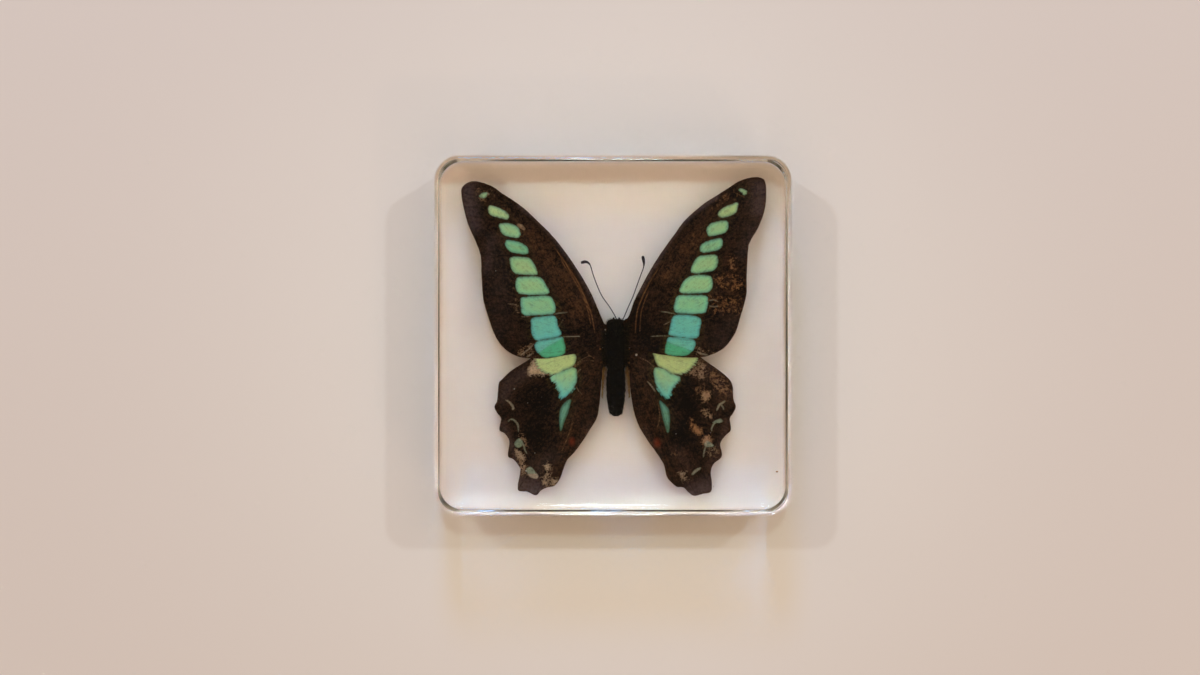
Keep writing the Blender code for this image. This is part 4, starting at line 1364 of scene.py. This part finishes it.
class BlockSettings(bpy.types.PropertyGroup):
    """Sizes and clearness of the block."""

    corner_radius: length_property("Corner radius", "Radius of the upright corners", 0.0056)
    edge_radius: length_property("Edge radius", "Radius of the softened edges", 0.0008)
    crown_width: length_property("Crown width", "Width of the rounding round the front face", 0.0010)
    crown_height: length_property("Crown height", "Height of the rounding round the front face", 0.0010)
    resin_ior: bpy.props.FloatProperty(
        name="Refraction", description="Index of refraction of the resin", default=1.5, min=1.0, max=2.0)
    resin_density: bpy.props.FloatProperty(
        name="Tint depth", description="How fast the tint deepens, per metre", default=3.5, min=0.0)
    resin_tint: colour_property("Tint", "Colour of the resin in depth", (0.97, 0.86, 0.66, 1.0))


class InsectSettings(bpy.types.PropertyGroup):
    """Colours and hair of the butterfly."""

    ground_dark: colour_property("Ground dark", "Darkest scales", screen(20, 13, 10))
    ground_brown: colour_property("Ground brown", "Brown scales", screen(72, 48, 34))
    ground_rust: colour_property("Ground rust", "Rusty scales of the cell", screen(104, 68, 42))
    ground_bloom: colour_property("Bloom", "Greyish scales near the edges", screen(98, 80, 78))
    rim_brown: colour_property("Rim", "Thin edge of the wings", screen(104, 68, 48))
    haze_olive: colour_property("Haze", "Olive scales round the windows", screen(98, 90, 40))
    window_shade: colour_property("Window shade", "Darker scales in the windows", screen(60, 82, 60))
    window_green: colour_property("Window green", "Green of the windows", (0.33, 0.80, 0.42, 1.0))
    window_deep: colour_property("Window deep", "Green where the wings overlap", (0.14, 0.68, 0.35, 1.0))
    window_yellow: colour_property("Window yellow", "Yellow-green of the windows", (0.72, 0.86, 0.36, 1.0))
    window_blue: colour_property("Window blue", "Turquoise of the windows", (0.21, 0.78, 0.70, 1.0))
    line_green: colour_property("Line green", "Pale green marks", screen(178, 196, 160))
    worn_tan: colour_property("Worn tan", "Rubbed places", screen(226, 198, 164))
    worn_orange: colour_property("Worn orange", "Rubbed places that show rust", screen(206, 140, 84))
    red_spot: colour_property("Red spot", "Red at the inner edge", screen(160, 66, 40))
    dust: colour_property("Dust", "Pale dots", screen(215, 205, 190))
    body_black: colour_property("Body black", "Chitin", screen(10, 9, 9))
    body_brown: colour_property("Body brown", "Brown chitin", screen(24, 20, 18))
    hair_gold: colour_property("Gold hair", "Pale hair on the body", screen(120, 98, 56))
    hair_tan: colour_property("Tan hair", "Hair beside the abdomen", screen(196, 150, 92))
    antenna_dark: colour_property("Antenna dark", "Shaft", screen(34, 28, 32))
    antenna_light: colour_property("Antenna light", "Lighter rings", screen(60, 52, 58))
    hair_count: count_property("Hairs", "Number of hairs on the body", 7000)
    fringe_count: count_property("Fringe hairs", "Number of pale hairs on each side", 900)
    tuft_count: count_property("Tuft hairs", "Number of hairs over the wing roots", 2600)
    hair_length: length_property("Hair length", "Longest hair on the chest", 0.0009)


class StudioSettings(bpy.types.PropertyGroup):
    """Floor, light and camera."""

    floor_colour: colour_property("Floor", "Colour of the floor", (0.84, 0.74, 0.68, 1.0))
    camera_rise: length_property("Camera rise", "Height of the camera over the front face", 0.370)
    camera_x: bpy.props.FloatProperty(
        name="Camera X", description="Camera beside the block's middle", default=-0.0029, unit='LENGTH')
    camera_y: bpy.props.FloatProperty(
        name="Camera Y", description="Camera above the block's middle", default=-0.00045, unit='LENGTH')
    view_width: length_property("View width", "Width of the view at the front face", 0.2682)
    warm_light: colour_property("Warm light", "Light all round", (1.0, 0.80, 0.585, 1.0))
    cool_light: colour_property("Cool light", "Light of the two cool lamps", (0.785, 0.92, 1.0, 1.0))
    sky_light: colour_property("Sky light", "Light of the window", (0.11, 0.42, 1.0, 1.0))
    warm_strength: bpy.props.FloatProperty(
        name="Warm strength", description="Strength of the light all round", default=0.93, min=0.0)
    warm_power: power_property("Warm lamp", "Power of the warm lamp", 0.5)
    pool_light: colour_property("Pool light", "Soft pool of light on the block", (0.68, 0.96, 0.95, 1.0))
    pool_width: length_property("Pool width", "Width of the soft pool of light", 0.20)
    pool_power: power_property("Pool power", "Power of the soft pool of light", 9.5)
    cool_power: power_property("Cool lamps", "Power of each cool lamp", 1.46)
    sky_power: power_property("Window power", "Power of the window", 3.6)
    lamp_size: length_property("Lamp size", "Width of each lamp", 0.05)
    lamp_distance: length_property("Lamp distance", "Distance of the lamps from the block", 1.1)


class SPECIMEN_OT_add_block(bpy.types.Operator):
    """Add the clear block in place of its two halves"""

    bl_idname = "specimen.add_block"
    bl_label = "Add clear block"

    def execute(self, context):
        look = context.scene.specimen_block
        mesh = build_block_mesh(look)
        add_piece("clear_block", mesh, resin_surface(look), ("block_lower", "block_upper"))
        return {'FINISHED'}


class SPECIMEN_OT_add_wings(bpy.types.Operator):
    """Add the four wings with their markings"""

    bl_idname = "specimen.add_wings"
    bl_label = "Add wings"

    def execute(self, context):
        look = context.scene.specimen_insect
        right_fore = [[(-u, v) for u, v in vein] for vein in FOREWING_VEINS]
        right_hind = [[(-u, v) for u, v in vein] for vein in HINDWING_VEINS]
        wings = (
            ("forewing_left", FOREWING_LEFT, FOREWING_VEINS, True),
            ("forewing_right", FOREWING_RIGHT, right_fore, True),
            ("hindwing_left", HINDWING_LEFT, HINDWING_VEINS, False),
            ("hindwing_right", HINDWING_RIGHT, right_hind, False),
        )
        for name, outline, veins, is_forewing in wings:
            mesh = build_wing_mesh(name, outline, veins)
            surface = wing_surface(name + "_scales", look, is_forewing)
            add_piece(name + "_sheet", mesh, surface, (name,))
        return {'FINISHED'}


class SPECIMEN_OT_add_body(bpy.types.Operator):
    """Add the body with its eyes, legs and hair"""

    bl_idname = "specimen.add_body"
    bl_label = "Add body"

    def execute(self, context):
        look = context.scene.specimen_insect
        add_piece("hairy_body", build_body_mesh(look), body_surface(look), ("body",))
        add_piece("abdomen_fringe", build_fringe_mesh(look), fringe_surface(look))
        return {'FINISHED'}


class SPECIMEN_OT_add_antennae(bpy.types.Operator):
    """Add both antennae with their clubs"""

    bl_idname = "specimen.add_antennae"
    bl_label = "Add antennae"

    def execute(self, context):
        surface = antenna_surface(context.scene.specimen_insect)
        for name, points in (("antenna_left", ANTENNA_LEFT), ("antenna_right", ANTENNA_RIGHT)):
            mesh = build_antenna_mesh(name + "_mesh", points)
            add_piece(name + "_ringed", mesh, surface, (name,))
        return {'FINISHED'}


class SPECIMEN_OT_add_specks(bpy.types.Operator):
    """Add the specks caught in the resin"""

    bl_idname = "specimen.add_specks"
    bl_label = "Add specks"

    def execute(self, context):
        look = context.scene.specimen_insect
        add_piece("resin_specks", build_speck_mesh(), speck_surface(look))
        return {'FINISHED'}


class SPECIMEN_OT_add_studio(bpy.types.Operator):
    """Add the floor, the soft light and the camera"""

    bl_idname = "specimen.add_studio"
    bl_label = "Add studio"

    def execute(self, context):
        scene = context.scene
        look = scene.specimen_studio
        self.add_floor(look)
        self.add_dome(scene, look)
        for lamp in LAMPS:
            self.add_lamp(scene, look, *lamp)
        self.add_camera(scene, look)
        scene.view_settings.view_transform = 'Standard'
        scene.cycles.sample_clamp_indirect = 0.0
        scene.cycles.blur_glossy = 0.0
        scene.cycles.max_bounces = 24
        scene.cycles.transmission_bounces = 20
        scene.cycles.glossy_bounces = 12
        scene.cycles.diffuse_bounces = 5
        return {'FINISHED'}

    def add_floor(self, look):
        """Lay a wide pale floor under the block."""
        shape = bmesh.new()
        bmesh.ops.create_grid(shape, x_segments=8, y_segments=8, size=FLOOR_HALF)
        mesh = finish_mesh("floor_mesh", shape)
        material, tree, shader = new_surface("pale_floor")
        place = add_node(tree, "ShaderNodeTexCoord", None, None, 3)
        cloud = speckle(tree, place, 9.0, 2.0, 0.5)
        darker = tuple(part * 0.97 for part in look.floor_colour)
        colour = blend_colour(tree, cloud, darker, tuple(look.floor_colour))
        link_surface(tree, shader, {"Base Color": colour, "Roughness": 0.7, "IOR": DRY_IOR})
        mesh.materials.append(material)
        floor = bpy.data.objects.new("floor", mesh)
        floor.location.z = SOLID_BOUNDS[0][2] - FLOOR_GAP
        bpy.context.scene.collection.objects.link(floor)

    def add_dome(self, scene, look):
        """Light the scene all round, warmly and more from above, with a dark spot at the zenith."""
        world = bpy.data.worlds.new("studio_light")
        world.use_nodes = True
        scene.world = world
        tree = world.node_tree
        way = add_node(tree, "ShaderNodeTexCoord", None, None, 0)
        height = add_node(tree, "ShaderNodeSeparateXYZ", None, {0: way}, 2)
        outside = ((HOLE_HEIGHT - height) / HOLE_SOFTNESS).clamp()
        above = ((height - 0.45) / 0.5).clamp()
        level = (above * (1 - DOME_LEVEL) + DOME_LEVEL) * (outside * (1 - HOLE_LEVEL) + HOLE_LEVEL)
        ambient = add_node(tree, "ShaderNodeBackground", None,
                           {"Color": tuple(look.warm_light), "Strength": level * look.warm_strength})
        tree.links.new(ambient.socket, tree.nodes["World Output"].inputs["Surface"])

    def add_lamp(self, scene, look, name, toward, lean, kind, share):
        """Hang one soft lamp that looks at the block, leaning from upright by an angle in degrees."""
        size = look.lamp_size * share
        if kind == "pool":
            data = bpy.data.lights.new(name, 'SPOT')
            data.shadow_soft_size = size / 2
            data.spot_size = 2 * math.atan(look.pool_width / 2 / look.lamp_distance)
            data.spot_blend = 1.0
        else:
            data = bpy.data.lights.new(name, 'AREA')
            data.shape = 'DISK'
            data.size = size
        data.energy = getattr(look, kind + "_power")
        data.color = tuple(getattr(look, kind + "_light"))[:3]
        lamp = bpy.data.objects.new(name, data)
        side = Vector((*toward, 0.0)).normalized() * math.sin(math.radians(lean))
        out = side + Vector((0, 0, math.cos(math.radians(lean))))
        lamp.location = out * look.lamp_distance
        lamp.rotation_euler = out.to_track_quat('Z', 'Y').to_euler()
        lamp.visible_camera = False
        scene.collection.objects.link(lamp)

    def add_camera(self, scene, look):
        """Look straight down on the front face, with the insect's head at the top."""
        data = bpy.data.cameras.new("camera")
        data.sensor_width = SENSOR_WIDTH
        data.lens = SENSOR_WIDTH * look.camera_rise / look.view_width
        data.clip_start = 0.01
        camera = bpy.data.objects.new("camera", data)
        camera.location = (look.camera_x, look.camera_y, UPPER_BOX[1][2] + look.camera_rise)
        scene.collection.objects.link(camera)
        scene.camera = camera


class SPECIMEN_PT_panel(bpy.types.Panel):
    """List the pieces and their settings"""

    bl_idname = "SPECIMEN_PT_panel"
    bl_label = "Specimen"
    bl_space_type = 'VIEW_3D'
    bl_region_type = 'UI'
    bl_category = "Specimen"

    def draw(self, context):
        layout = self.layout
        for operator in OPERATORS:
            layout.operator(operator.bl_idname)
        for key in SETTINGS:
            box = layout.box()
            settings = getattr(context.scene, key)
            for name in settings.__annotations__:
                box.prop(settings, name)


OPERATORS = (
    SPECIMEN_OT_add_block,
    SPECIMEN_OT_add_wings,
    SPECIMEN_OT_add_body,
    SPECIMEN_OT_add_antennae,
    SPECIMEN_OT_add_specks,
    SPECIMEN_OT_add_studio,
)
SETTINGS = {
    "specimen_block": BlockSettings,
    "specimen_insect": InsectSettings,
    "specimen_studio": StudioSettings,
}


def register():
    """Register the classes and put their settings on the scene."""
    for name, group in SETTINGS.items():
        bpy.utils.register_class(group)
        setattr(bpy.types.Scene, name, bpy.props.PointerProperty(type=group))
    for item in OPERATORS + (SPECIMEN_PT_panel,):
        bpy.utils.register_class(item)


def unregister():
    """Take the classes and their settings away again."""
    for item in reversed(OPERATORS + (SPECIMEN_PT_panel,)):
        bpy.utils.unregister_class(item)
    for name, group in SETTINGS.items():
        delattr(bpy.types.Scene, name)
        bpy.utils.unregister_class(group)


def main():
    """Build every piece and the studio."""
    register()
    bpy.ops.specimen.add_block()
    bpy.ops.specimen.add_wings()
    bpy.ops.specimen.add_body()
    bpy.ops.specimen.add_antennae()
    bpy.ops.specimen.add_specks()
    bpy.ops.specimen.add_studio()


if __name__ == "__main__":
    main()
